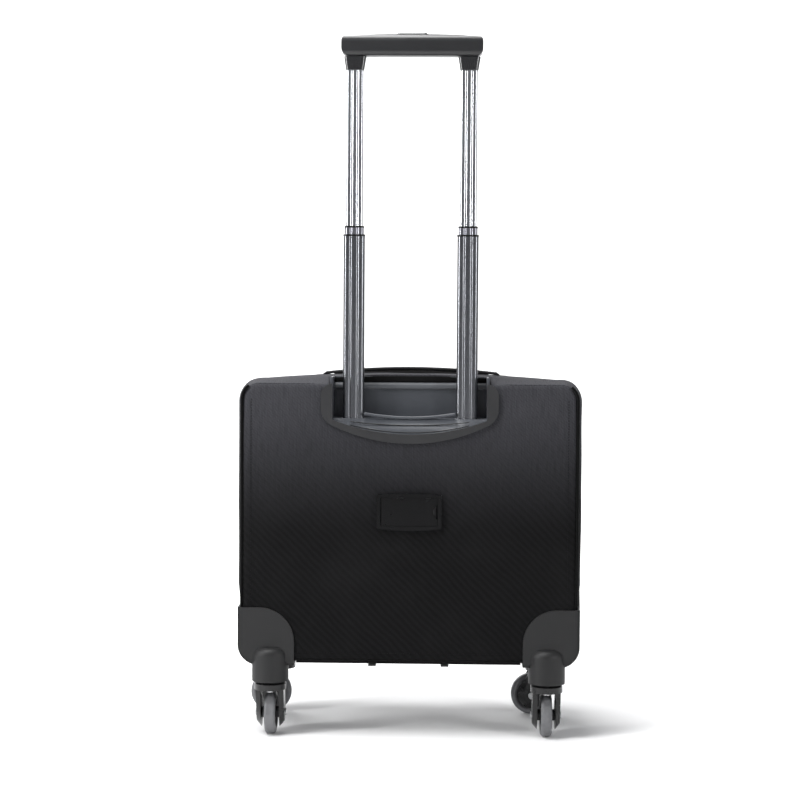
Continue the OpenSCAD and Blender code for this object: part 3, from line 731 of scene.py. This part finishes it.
def side_bulge(points, normals, y, y0, y1, height):
    """How far the soft sides stand out between y0 and y1: most at mid-depth, none under."""
    t = np.clip((y - y0) / (y1 - y0), 0, 1)
    arch = math.sin(math.pi * t) ** 0.7 if 0 < t < 1 else 0.0
    side = np.abs(normals[:, 0]) + 0.45 * np.clip(normals[:, 1], 0, 1)
    above = ease((points[:, 1] - GUARD_HI.z) / (30 * MM))
    beyond = ease((y - GUARD_HI.y) / (30 * MM))
    return height * arch * np.clip(side, 0, 1) * np.maximum(above, beyond)


def make_gusset():
    ys = np.concatenate([np.linspace(REAR + EDGE_TUCK, REAR + 12 * MM, 6),
                         np.linspace(REAR + 16 * MM, WELL_HI.y, 7),
                         np.linspace(WELL_HI.y + 5 * MM, FRONT - 12 * MM, 26),
                         np.linspace(FRONT - 9 * MM, FRONT - 0.2 * MM, 4)])
    n = len(CASE_LOOP)
    points, coords = [], []
    for y in ys:
        tuck = ease((y - REAR) / (14 * MM)) ** 0.6
        rise = ease((y - REAR) / (48 * MM))
        mix = np.where(np.abs(CASE_NORMAL[:, 1]) > 0.7, rise, tuck)[:, None]
        loop = PANEL_LOOP * (1 - mix) + CASE_LOOP * mix
        out = side_bulge(CASE_LOOP, CASE_NORMAL, y, REAR + 6 * MM, FRONT - 10 * MM, 7.0 * MM)
        wave = np.array([ripple(p[0], y, p[1], 0.06, 1.7) for p in CASE_LOOP])
        soft = math.sin(math.pi * np.clip((y - REAR) / (FRONT - REAR), 0, 1))
        out = out + 0.9 * MM * wave * soft * np.clip(out / (1.5 * MM), 0, 1)
        loop = loop + CASE_NORMAL * (out - 0.15 * MM)[:, None]
        points += [(p[0], y, p[1]) for p in loop]
        coords += [(s, y) for s in CASE_LENGTH]
    faces = []
    for j in range(len(ys) - 1):
        for i in range(n):
            k = (i + 1) % n
            mid = (CASE_LOOP[i] + CASE_LOOP[k]) / 2
            top = mid[1] > SHOULDER - 5 * MM and abs(mid[0]) < MOUTH_HALF
            if top and ys[j + 1] <= WELL_HI.y + 0.1 * MM:
                continue
            faces.append((j * n + i, (j + 1) * n + i, (j + 1) * n + k, j * n + k))
    fabric("case_sides", points, faces, SHELL, coords, 2.2 * MM, "case", "gusset")


def loop_path(loop, y, grow, first, last):
    """Points of an outline from index first to last at depth y, moved out by grow."""
    normal = loop_normals(loop)
    count = len(loop)
    picked = [k % count for k in range(first, last)]
    return np.array([(loop[k][0] + normal[k][0] * grow, y, loop[k][1] + normal[k][1] * grow)
                     for k in picked])


def split_path(path, keep):
    """Runs of path points for which keep is true."""
    runs, run = [], []
    for p in path:
        if keep(p):
            run.append(p)
        elif run:
            runs.append(np.array(run))
            run = []
    if run:
        runs.append(np.array(run))
    return [r for r in runs if len(r) > 3]


def make_rear_piping():
    count = len(PANEL_LOOP)
    path = loop_path(PANEL_LOOP, REAR + 2.4 * MM, 0.9 * MM, 0, count + 1)
    start = count // 2
    path = np.vstack([path[start:-1], path[:start + 1]])

    def shows(p):
        rolled_top = p[2] > PANEL_HI.z - 3 * MM
        return guard_distance(p[0], p[2]) > 0 and not rolled_top

    for k, run in enumerate(split_path(path, shows)):
        place(tube(f"rear_piping_{k}", run, 1.7 * MM, BINDING), "case")


def stitches(name, path, up, body, closed=False):
    obj = beads(name, path, THREAD, 2.4 * MM, 0.75 * MM, 0.6 * MM, 3.4 * MM, up, closed=closed)
    place(obj, body)


def make_rear_stitching():
    loop = loop_points(PANEL_HI.x - 11 * MM, PANEL_LO.z + 11 * MM, PANEL_HI.z - 11 * MM,
                       PANEL_HI.z - 11 * MM, 12 * MM, STEP)
    path = at_depth(loop, panel_y(loop[:, 0], loop[:, 1]) - 0.25 * MM)
    start = len(path) // 2
    path = np.vstack([path[start:], path[:start + 1]])

    def shows(p):
        near_guard = guard_distance(p[0], p[2]) < 2 * MM
        rolled_top = p[2] > PANEL_HI.z - 20 * MM
        return not near_guard and not rolled_top

    for k, run in enumerate(split_path(path, shows)):
        stitches(f"rear_stitches_{k}", run, (0, -1, 0), "case")


make_rear_panel()
make_gusset()
make_rear_piping()
make_rear_stitching()


# ---- Zip between case and lid ----

HINGE_X = HALF_W - 3 * MM           # the zip stops short of the hinged side


def band(name, y0, y1, body):
    """Strip of zip tape round the case from depth y0 to y1."""
    grow = 0.25 * MM
    rows = 4
    points, coords = [], []
    for j in range(rows):
        y = y0 + (y1 - y0) * j / (rows - 1)
        points += [(p[0] + q[0] * grow, y, p[1] + q[1] * grow)
                   for p, q in zip(CASE_LOOP, CASE_NORMAL)]
        coords += [(s, y) for s in CASE_LENGTH]
    fabric(name, points, grid_faces(rows, len(CASE_LOOP), True), TAPE, coords, 0.6 * MM, body)


def loop_up(path):
    """Outward direction of the case outline at each path point."""
    d = ((path[:, None, 0] - CASE_LOOP[None, :, 0]) ** 2
         + (path[:, None, 2] - CASE_LOOP[None, :, 1]) ** 2)
    n = CASE_NORMAL[d.argmin(1)]
    return np.stack([n[:, 0], np.zeros(len(n)), n[:, 1]], 1)


def open_run(y, grow):
    """The case outline without its hinged side, as one open path."""
    path = loop_path(CASE_LOOP, y, grow, 0, len(CASE_LOOP))
    hinged = path[:, 0] > HINGE_X
    first = int(np.argmax(hinged)) + int(hinged.sum())
    order = [(first + k) % len(path) for k in range(len(path) - int(hinged.sum()))]
    return path[order]


def make_main_zip():
    mid = (FRONT + LID_LO.y) / 2
    band("zip_tape_case", FRONT - 11 * MM, FRONT + 0.1 * MM, "case")
    band("zip_tape_lid", LID_LO.y - 0.1 * MM, LID_LO.y + 8 * MM, "lid")
    for name, side, body in (("zip_teeth_case", -0.8, "case"), ("zip_teeth_lid", 0.8, "lid")):
        obj = beads(name, open_run(mid + side * MM, 0.5 * MM), COIL, 2.6 * MM, 1.0 * MM, 1.5 * MM,
                    2.0 * MM, loop_up, across=True)
        place(obj, body)
    for name, y, body in (("zip_stitches_case", FRONT - 8.5 * MM, "case"),
                          ("zip_stitches_lid", LID_LO.y + 6 * MM, "lid")):
        stitches(name, open_run(y, 0.45 * MM), loop_up, body)


make_main_zip()


# ---- Lid ----

def make_lid():
    ys = np.concatenate([np.linspace(LID_LO.y + 0.2 * MM, LID_HI.y - 5 * MM, 8),
                         LID_HI.y - 5 * MM + 4.6 * MM * np.sin(np.linspace(0.3, math.pi / 2, 5))])
    points, coords = [], []
    for y in ys:
        t = np.clip((y - (LID_HI.y - 5 * MM)) / (5 * MM), 0, 1)
        inset = 5 * MM * (1 - math.sqrt(max(0.0, 1 - t * t)))
        out = side_bulge(CASE_LOOP, CASE_NORMAL, y, LID_LO.y + 8 * MM, LID_HI.y + 2 * MM, 1.2 * MM)
        loop = CASE_LOOP + CASE_NORMAL * (out - inset - 0.15 * MM)[:, None]
        points += [(p[0], y, p[1]) for p in loop]
        coords += [(s, y) for s in CASE_LENGTH]
    fabric("lid_sides", points, grid_faces(len(ys), len(CASE_LOOP), True), SHELL, coords, 2 * MM,
           "lid", "lid_shell")

    face_loop = CASE_LOOP - CASE_NORMAL * 4.6 * MM

    def outline(x, z):
        return sd_loop(x, z, face_loop)

    flat, faces = plate(outline, (-HALF_W, HALF_W), (BOTTOM, CROWN), 5 * MM)
    edge = -outline(flat[:, 0], flat[:, 1])
    wave = np.array([ripple(a, 5, b, 0.07, 8.3) for a, b in flat])
    y = LID_HI.y - 0.5 * MM + ease(edge / (30 * MM)) * 0.5 * MM * wave
    fabric("lid_front", at_depth(flat, y), [f[::-1] for f in faces], SHELL, flat, 2 * MM,
           "lid", "lid_shell")

    path = loop_path(CASE_LOOP, LID_HI.y - 0.6 * MM, -3.2 * MM, 0, len(CASE_LOOP))
    place(tube("lid_piping", path, 1.9 * MM, BINDING, closed=True), "lid")


def puff(obj, pinned_below, pressure, cap):
    """Swells a closed pad by cloth pressure, with its back held to the lid."""
    rest = np.array([v.co for v in obj.data.vertices])
    group = obj.vertex_groups.new(name="pin")
    group.add([int(i) for i in np.where(rest[:, 1] < pinned_below)[0]], 1.0, "REPLACE")
    m = obj.modifiers.new("cloth", "CLOTH")
    m.settings.quality = 6
    m.settings.mass = 0.3
    m.settings.tension_stiffness = 12
    m.settings.compression_stiffness = 12
    m.settings.bending_stiffness = 0.6
    m.settings.vertex_group_mass = "pin"
    m.settings.use_pressure = True
    m.settings.uniform_pressure_force = pressure
    m.settings.effector_weights.gravity = 0
    m.point_cache.frame_start = 1
    m.point_cache.frame_end = 20
    for f in range(1, 21):
        scene.frame_set(f)
    graph = bpy.context.evaluated_depsgraph_get()
    swollen = np.array([v.co for v in obj.evaluated_get(graph).data.vertices])
    scene.frame_set(1)
    obj.modifiers.remove(m)
    obj.vertex_groups.clear()
    move = swollen - rest
    length = np.maximum(np.linalg.norm(move, axis=1), 1e-9)
    move *= np.minimum(1, cap / length)[:, None]
    obj.data.vertices.foreach_set("co", (rest + move).ravel())
    obj.data.update()


def make_pocket(name, zip_z, reach):
    """Padded pocket: swollen front, tight seams at its rim, pinched where the zip is sewn."""
    lo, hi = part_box(name)
    shrink = 1.5 * MM
    round_in = 14 * MM

    def outline(x, z):
        return sd_round(x, z, hi.x - shrink, lo.z + shrink, hi.z - shrink, 15 * MM)

    flat, faces = plate(outline, (-hi.x, hi.x), (lo.z, hi.z), 5 * MM)
    edge = -outline(flat[:, 0], flat[:, 1])
    depth = hi.y - lo.y - 4 * MM
    rise = depth * np.sqrt(np.clip(1 - (1 - np.clip(edge / round_in, 0, 1)) ** 2, 0, 1))
    front = np.stack([flat[:, 0], lo.y + 0.6 * MM + np.maximum(rise, 1.2 * MM), flat[:, 1]], 1)
    back = np.stack([flat[:, 0], np.full(len(flat), lo.y + 0.2 * MM), flat[:, 1]], 1)
    n = len(flat)
    edges = {(a, b) for f in faces for a, b in zip(f, f[1:] + f[:1])}
    walls = [[a, b, b + n, a + n] for a, b in edges if (b, a) not in edges]
    pad_faces = [f[::-1] for f in faces] + [[k + n for k in f] for f in faces] + sorted(walls)
    obj = face_out(new_object(name + "_pad", np.vstack([front, back]), pad_faces, SHELL))
    remesh = obj.modifiers.new("remesh", "REMESH")
    remesh.mode = "VOXEL"
    remesh.voxel_size = 4.5 * MM
    graph = bpy.context.evaluated_depsgraph_get()
    mesh = bpy.data.meshes.new_from_object(obj.evaluated_get(graph))
    obj.modifiers.clear()
    obj.data = mesh
    puff(obj, lo.y + 2.2 * MM, 4.0, 6.5 * MM)
    co = np.array([v.co for v in obj.data.vertices])
    lift = np.clip((co[:, 1] - lo.y) / (hi.y - lo.y), 0, 1)
    near = 1 - ease((np.abs(co[:, 2] - zip_z) - 5 * MM) / (12 * MM))
    near *= 1 - ease((np.abs(co[:, 0]) - reach + 2 * MM) / (16 * MM))
    crease = np.array([ripple(a, b, c, 0.05, 4.4) for a, b, c in co])
    co[:, 1] += crease * 0.8 * MM * lift
    pinch = np.where(lift > 0.45, near, 0)
    co[:, 1] = co[:, 1] * (1 - pinch) + (hi.y - 0.3 * MM) * pinch
    obj.data.vertices.foreach_set("co", co.ravel())
    obj.data.update()
    obj.data.materials.clear()
    obj.data.materials.append(SHELL)
    obj.data.polygons.foreach_set("use_smooth", [True] * len(obj.data.polygons))
    wrap_cloth(obj)
    sub = obj.modifiers.new("smooth", "SUBSURF")
    sub.levels = 1
    sub.render_levels = 1
    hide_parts(name)
    place(obj, "lid")
    loop = loop_points(hi.x - 0.5 * MM, lo.z + 0.5 * MM, hi.z - 0.5 * MM, hi.z - 0.5 * MM,
                       16 * MM, STEP)
    path = loop_path(loop, lo.y + 1.6 * MM, 0, 0, len(loop))
    place(tube(name + "_piping", path, 1.7 * MM, BINDING, closed=True), "lid")
    loop = loop_points(hi.x + 3.4 * MM, lo.z - 3.4 * MM, hi.z + 3.4 * MM, hi.z + 3.4 * MM,
                       18 * MM, STEP)
    path = loop_path(loop, lo.y + 0.5 * MM, 0, 0, len(loop))
    stitches(name + "_seam", path, (0, 1, 0), "lid", closed=True)


def make_pocket_zip(name, pocket, zip_z, reach):
    """Two strips of tape with a coil between them, on the face of a pocket."""
    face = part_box(pocket)[1].y
    xs = np.linspace(-reach, reach, 81)
    for side, word in ((-1, "low"), (1, "high")):
        rows = np.linspace(1.2 * MM, 6.5 * MM, 3) * side
        points = [(x, face + 0.45 * MM, zip_z + r) for r in rows for x in xs]
        faces = grid_faces(3, len(xs), False)
        if side < 0:
            faces = [f[::-1] for f in faces]
        coords = [(x, zip_z + r) for r in rows for x in xs]
        fabric(f"{name}_tape_{word}", points, faces, TAPE, coords, 0.7 * MM, "lid",
               "pocket_zips")
        line = np.array([(x, face + 0.65 * MM, zip_z + side * 5.2 * MM) for x in xs])
        stitches(f"{name}_stitches_{word}", line, (0, 1, 0), "lid")
    line = np.array([(x, face + 0.2 * MM, zip_z) for x in xs])
    obj = beads(name + "_teeth", line, COIL, 3.0 * MM, 1.0 * MM, 1.3 * MM, 1.6 * MM, (0, 1, 0),
                across=True)
    place(obj, "lid")


def make_pockets():
    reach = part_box("pocket_zips")[1].x
    for pocket in ("upper_pocket", "lower_pocket"):
        lo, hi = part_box("slider_" + pocket)
        zip_z = (lo.z + hi.z) / 2
        make_pocket(pocket, zip_z, reach)
        make_pocket_zip(pocket + "_zip", pocket, zip_z, reach)


make_lid()
make_pockets()


# ---- Cloth hinge on the right side ----

def make_hinge():
    """Strip of cloth from the case's side to the lid's, over the cord on the hinge's axis."""
    lo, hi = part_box("hinge_welt")
    axis_y = (FRONT + LID_LO.y) / 2
    ys = np.linspace(FRONT - 10 * MM, LID_LO.y + 9 * MM, 15)
    zs = np.linspace(lo.z - 2 * MM, hi.z + 2 * MM, 75)
    points, coords = [], []
    for y in ys:
        hump = math.exp(-((y - axis_y) / (1.6 * MM)) ** 2)
        x = HALF_W + 1.7 * MM + (hi.x - HALF_W - 1.0 * MM) * hump
        points += [(x, y, z) for z in zs]
        coords += [(z, y) for z in zs]
    faces = [f[::-1] for f in grid_faces(len(ys), len(zs), False)]
    obj = new_object("hinge_strip", points, faces, BINDING)
    set_cloth(obj, coords)
    solidify(obj, 0.9 * MM)
    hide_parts("hinge_welt")
    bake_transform(obj)
    for name, y, body in (("hinge_stitches_case", ys[0] + 1.5 * MM, "case"),
                          ("hinge_stitches_lid", ys[-1] - 1.5 * MM, "lid")):
        line = np.array([(HALF_W + 1.75 * MM, y, z) for z in zs])
        stitches(name, line, (1, 0, 0), body)


# ---- Linings ----

def make_lining():
    """Cloth tub inside the case, slack between its corners, with two packing straps."""
    half, low, high = LINING_HI.x, LINING_LO.z, LINING_HI.z
    loop = loop_points(half, low, high, high, 18 * MM, STEP)
    normal = loop_normals(loop)
    length = loop_length(loop)
    ys = np.linspace(LINING_LO.y, LINING_HI.y, 22)
    points, coords = [], []
    for y in ys:
        slack = math.sin(math.pi * (y - ys[0]) / (ys[-1] - ys[0]))
        wave = np.array([ripple(p[0], y, p[1], 0.045, 6.2) for p in loop])
        inward = (0.8 * MM + 1.3 * MM * (1 + wave)) * slack
        ring = loop - normal * inward[:, None]
        points += [(p[0], y, p[1]) for p in ring]
        coords += [(s, y) for s in length]
    faces = [f[::-1] for f in grid_faces(len(ys), len(loop), True)]
    fabric("lining_sides", points, faces, LINING, coords, 0.8 * MM, "case",
           "lining")

    def outline(x, z):
        return sd_round(x, z, half - 0.3 * MM, low + 0.3 * MM, high - 0.3 * MM, 18 * MM)

    flat, faces = plate(outline, (-half, half), (low, high), 6 * MM)
    wave = np.array([ripple(a, 2, b, 0.06, 5.5) for a, b in flat])
    free = ease(-outline(flat[:, 0], flat[:, 1]) / (25 * MM))
    y = LINING_LO.y + 0.4 * MM + free * MM * (1 + wave)
    fabric("lining_back", at_depth(flat, y), [f[::-1] for f in faces], LINING, flat, 0.8 * MM,
           "case", "lining")
    inset = 5.1 * MM
    loop = loop_points(HALF_W - inset, BOTTOM + inset, SHOULDER - inset, SHOULDER - inset,
                       CORNER - inset, STEP)
    path = loop_path(loop, (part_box("frame_hoop")[0].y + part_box("frame_hoop")[1].y) / 2, 0,
                     0, len(loop))
    place(tube("hoop_sleeve", path, 3.0 * MM, BINDING, closed=True), "case")
    for name, z in (("strap_low", low + 0.11), ("strap_high", high - 0.10)):
        xs = np.linspace(-half + 3 * MM, half - 3 * MM, 60)
        sag = [LINING_LO.y + 5 * MM + 3 * MM * math.cos(math.pi * x / (2 * half)) for x in xs]
        path = np.array([(x, y, z) for x, y in zip(xs, sag)])
        place(strap(name, path, 25 * MM, 1.4 * MM, (0, 0, 1)), "case")

    liner_loop = CASE_LOOP - CASE_NORMAL * 6 * MM
    flat, faces = plate(lambda x, z: sd_loop(x, z, liner_loop), (-HALF_W, HALF_W),
                        (BOTTOM, CROWN), 6 * MM)
    wave = np.array([ripple(a, 4, b, 0.07, 2.5) for a, b in flat])
    y = LID_HI.y - 3.4 * MM - 0.5 * MM * (1 + wave)
    fabric("lid_lining", at_depth(flat, y), faces, LINING, flat, 0.6 * MM, "lid")


# ---- Carry handle and the top of the well ----

STRAP_ARC = 970 * MM                # radius of the strap's bow


def make_carry_handle():
    """Webbing over the top whose ends turn down through the anchors."""
    lo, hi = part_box("carry_handle")
    thick = 3.2 * MM
    leg_x = hi.x - thick / 2
    bend = 4 * MM
    top = hi.z - thick / 2

    def crown(x):
        return top - x * x / (2 * STRAP_ARC)

    over = [(x, crown(x)) for x in np.linspace(-leg_x + bend, leg_x - bend, 70)]
    turn = []
    for k in range(1, 8):
        a = math.pi / 2 * k / 8
        turn.append((leg_x - bend + bend * math.sin(a), crown(leg_x) - bend + bend * math.cos(a)))
    down = [(leg_x, z) for z in np.linspace(crown(leg_x) - bend, lo.z + 1.6 * MM, 8)]
    right = turn + down
    left = [(-x, z) for x, z in reversed(right)]
    mid_y = (lo.y + hi.y) / 2
    path = np.array([(x, mid_y, z) for x, z in left + over + right])
    obj = strap("carry_strap", path, hi.y - lo.y, thick, (0, 1, 0))
    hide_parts("carry_handle")
    place(obj, "carry_handle")
    for side, word in ((-1, "rear"), (1, "front")):
        line = np.array([(x, mid_y + side * 9.5 * MM, z + thick / 2) for x, z in over])
        obj = beads("carry_stitches_" + word, line, THREAD, 2.6 * MM, 0.9 * MM, 0.7 * MM,
                    3.8 * MM, (0, 0, 1))
        place(obj, "carry_handle")


def crown_height(x):
    """Height of the case's bowed top at x."""
    flat = HALF_W - CORNER
    return SHOULDER + (CROWN - SHOULDER) * (1 - (x / flat) ** 2)


def sheet(name, rows, material, thickness, up):
    """Thin piece of the case through rows of points; up is +1 or -1 for its outer side."""
    faces = grid_faces(len(rows), len(rows[0]), False)
    if up < 0:
        faces = [f[::-1] for f in faces]
    points = [p for row in rows for p in row]
    fabric(name, points, faces, material, [(p[0], p[1] + p[2]) for p in points], thickness,
           "case")


def make_well_crest():
    """Dark binding folded over the top of the well's back wall, and a bevel under it in well
    plastic painted lighter, a painted highlight.
    """
    reach = MOUTH_HALF - 1 * MM
    back = WELL_HI.y
    wall = back - 3 * MM
    fold = CROWN - 7.5 * MM
    xs = np.linspace(-reach, reach, 60)
    rows = [[(x, wall - 0.9 * MM, z) for x in xs] for z in (fold, fold + 2 * MM)]
    rows.append([(x, wall - 0.9 * MM, crown_height(x) - 0.6 * MM) for x in xs])
    rows.append([(x, wall + 0.2 * MM, crown_height(x) + 0.5 * MM) for x in xs])
    rows.append([(x, back + 3 * MM, crown_height(x) + 0.6 * MM) for x in xs])
    sheet("well_binding", rows, BINDING, 0.5 * MM, -1)
    low = fold - 8 * MM
    bevel = [(wall - 0.1 * MM, low - 0.5 * MM), (wall - 3.0 * MM, low), (wall - 0.8 * MM, fold)]
    rows = [[(x, y, z) for x in xs] for y, z in bevel]
    sheet("well_bevel", rows, WELL_PAINTED_LIT, 0.4 * MM, -1)


def make_handle_bed():
    """Low padded hump of cloth that fills the space under the carry strap."""
    lo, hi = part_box("carry_handle")
    mid_y = (lo.y + hi.y) / 2
    deep = (hi.y - lo.y) / 2 + 7 * MM
    top = hi.z - 3.2 * MM - 0.9 * MM
    xs = np.linspace(-100 * MM, 100 * MM, 60)
    rows = []
    for t in np.linspace(-1, 1, 13):
        rise = (1 - t ** 4)
        row = []
        for x in xs:
            base = crown_height(x) - 1 * MM
            peak = max(base, top - x * x / (2 * STRAP_ARC))
            row.append((x, mid_y + deep * t, base + (peak - base) * rise))
        rows.append(row)
    sheet("handle_bed", rows, BINDING, 1.0 * MM, 1)


def make_well_ribs():
    """Raised lip where the well's sill meets its floor, and two moulded lines on the sill coloured
    near black, painted shade along the sill's steps.
    """
    def mouth_z(x):
        return WELL_LO.z + MOUTH_ARC - math.sqrt((MOUTH_ARC - 3 * MM) ** 2 - x * x)

    floor_z = 400 * MM
    sill_y = WELL_LO.y + 9 * MM
    xs = np.linspace(-57 * MM, 57 * MM, 50)
    path = [(x, sill_y + 1 * MM, floor_z + 1.0 * MM + 5 * MM * (x / xs[-1]) ** 2) for x in xs]
    place(tube("well_lip", path, 2.2 * MM, WELL, sides=10), "case")
    # thin near-black cords: painted shade along the steps of the sill
    for name, part in (("sill_line_low", 0.12), ("sill_line_high", 0.58)):
        xs = np.linspace(-74 * MM, 74 * MM, 60)
        path = [(x, WELL_LO.y + 9 * MM * part,
                 mouth_z(x) + (max(floor_z, mouth_z(x)) - mouth_z(x)) * part) for x in xs]
        place(tube(name, path, 0.55 * MM, BUSH, sides=6), "case")


make_well_ribs()
make_well_crest()
make_handle_bed()
make_hinge()
make_lining()
make_carry_handle()


# ---- Studio ----

def make_floor():
    """Pale sweep: a flat floor that curves up far behind the object."""
    radius = 2.5
    back = 3.0
    profile = [(-8.0, 0.0), (-2.0, 0.0), (0.0, 0.0), (1.5, 0.0), (back, 0.0)]
    for k in range(1, 13):
        a = math.pi / 2 * k / 12
        profile.append((back + radius * math.sin(a), radius * (1 - math.cos(a))))
    profile.append((back + radius, 9.0))
    xs = np.linspace(-9, 9, 13)
    points = [(x, y, z) for y, z in profile for x in xs]
    faces = [f[::-1] for f in grid_faces(len(profile), len(xs), False)]
    m, tree, shader = new_material("studio_paper")
    cloud = noise_node(tree, object_coords(tree), 0.8, 2.0)
    tree.links.new(mix_colour(tree, cloud, grey(0.86), grey(0.90)), shader.inputs["Base Color"])
    shader.inputs["Roughness"].default_value = 0.9
    shader.inputs["Specular IOR Level"].default_value = 0.1
    new_object("studio_floor", points, faces, m)


def area_light(name, at, aim, width, height, power):
    data = bpy.data.lights.new(name, "AREA")
    data.shape = "RECTANGLE"
    data.size = width
    data.size_y = height
    data.energy = power
    obj = bpy.data.objects.new(name, data)
    scene.collection.objects.link(obj)
    obj.location = at
    obj.rotation_euler = (Vector(aim) - Vector(at)).to_track_quat("-Z", "Y").to_euler()


def make_lights():
    area_light("key", (-0.75, -0.75, 1.55), (-0.2, -0.1, 0.40), 0.5, 0.4, 14)
    area_light("strip_left", (-2.0, -1.1, 1.05), (0, -0.1, 1.0), 0.30, 1.3, 34)
    area_light("strip_right", (2.1, -1.7, 1.05), (0, -0.1, 1.0), 0.35, 1.3, 24)
    area_light("overhead", (-0.3, 0.1, 2.5), (0, 0.1, 0.4), 1.8, 1.0, 66)
    area_light("behind", (-1.6, 2.4, 1.8), (0, 0, 0.4), 1.8, 1.6, 45)
    area_light("backdrop", (0.0, 2.2, 3.2), (0, 5.0, 1.2), 4.5, 1.2, 200)
    world = bpy.data.worlds.new("studio")
    scene.world = world
    world.use_nodes = True
    back = world.node_tree.nodes["Background"]
    back.inputs["Color"].default_value = (0.93, 0.95, 1.0, 1.0)
    back.inputs["Strength"].default_value = 0.25


def make_camera():
    """Eye level near the case's top, a little right of centre, level but for a slight tilt."""
    yaw, pitch, roll = (math.radians(d) for d in (1.42, 2.47, 0.36))
    forward = Vector((-math.sin(yaw) * math.cos(pitch), math.cos(yaw) * math.cos(pitch),
                      -math.sin(pitch)))
    right = Vector((math.cos(yaw), math.sin(yaw), 0))
    up = right.cross(forward)
    x = right * math.cos(roll) + up * math.sin(roll)
    y = up * math.cos(roll) - right * math.sin(roll)
    z = -forward
    data = bpy.data.cameras.new("camera")
    data.lens = 80.0
    data.sensor_width = 36.0
    obj = bpy.data.objects.new("camera", data)
    scene.collection.objects.link(obj)
    turn = Matrix((x, y, z)).transposed().to_4x4()
    obj.matrix_world = Matrix.Translation((0.0425, -2.312, 0.519)) @ turn
    scene.camera = obj


make_floor()
make_lights()
make_camera()
scene.view_settings.view_transform = "Standard"
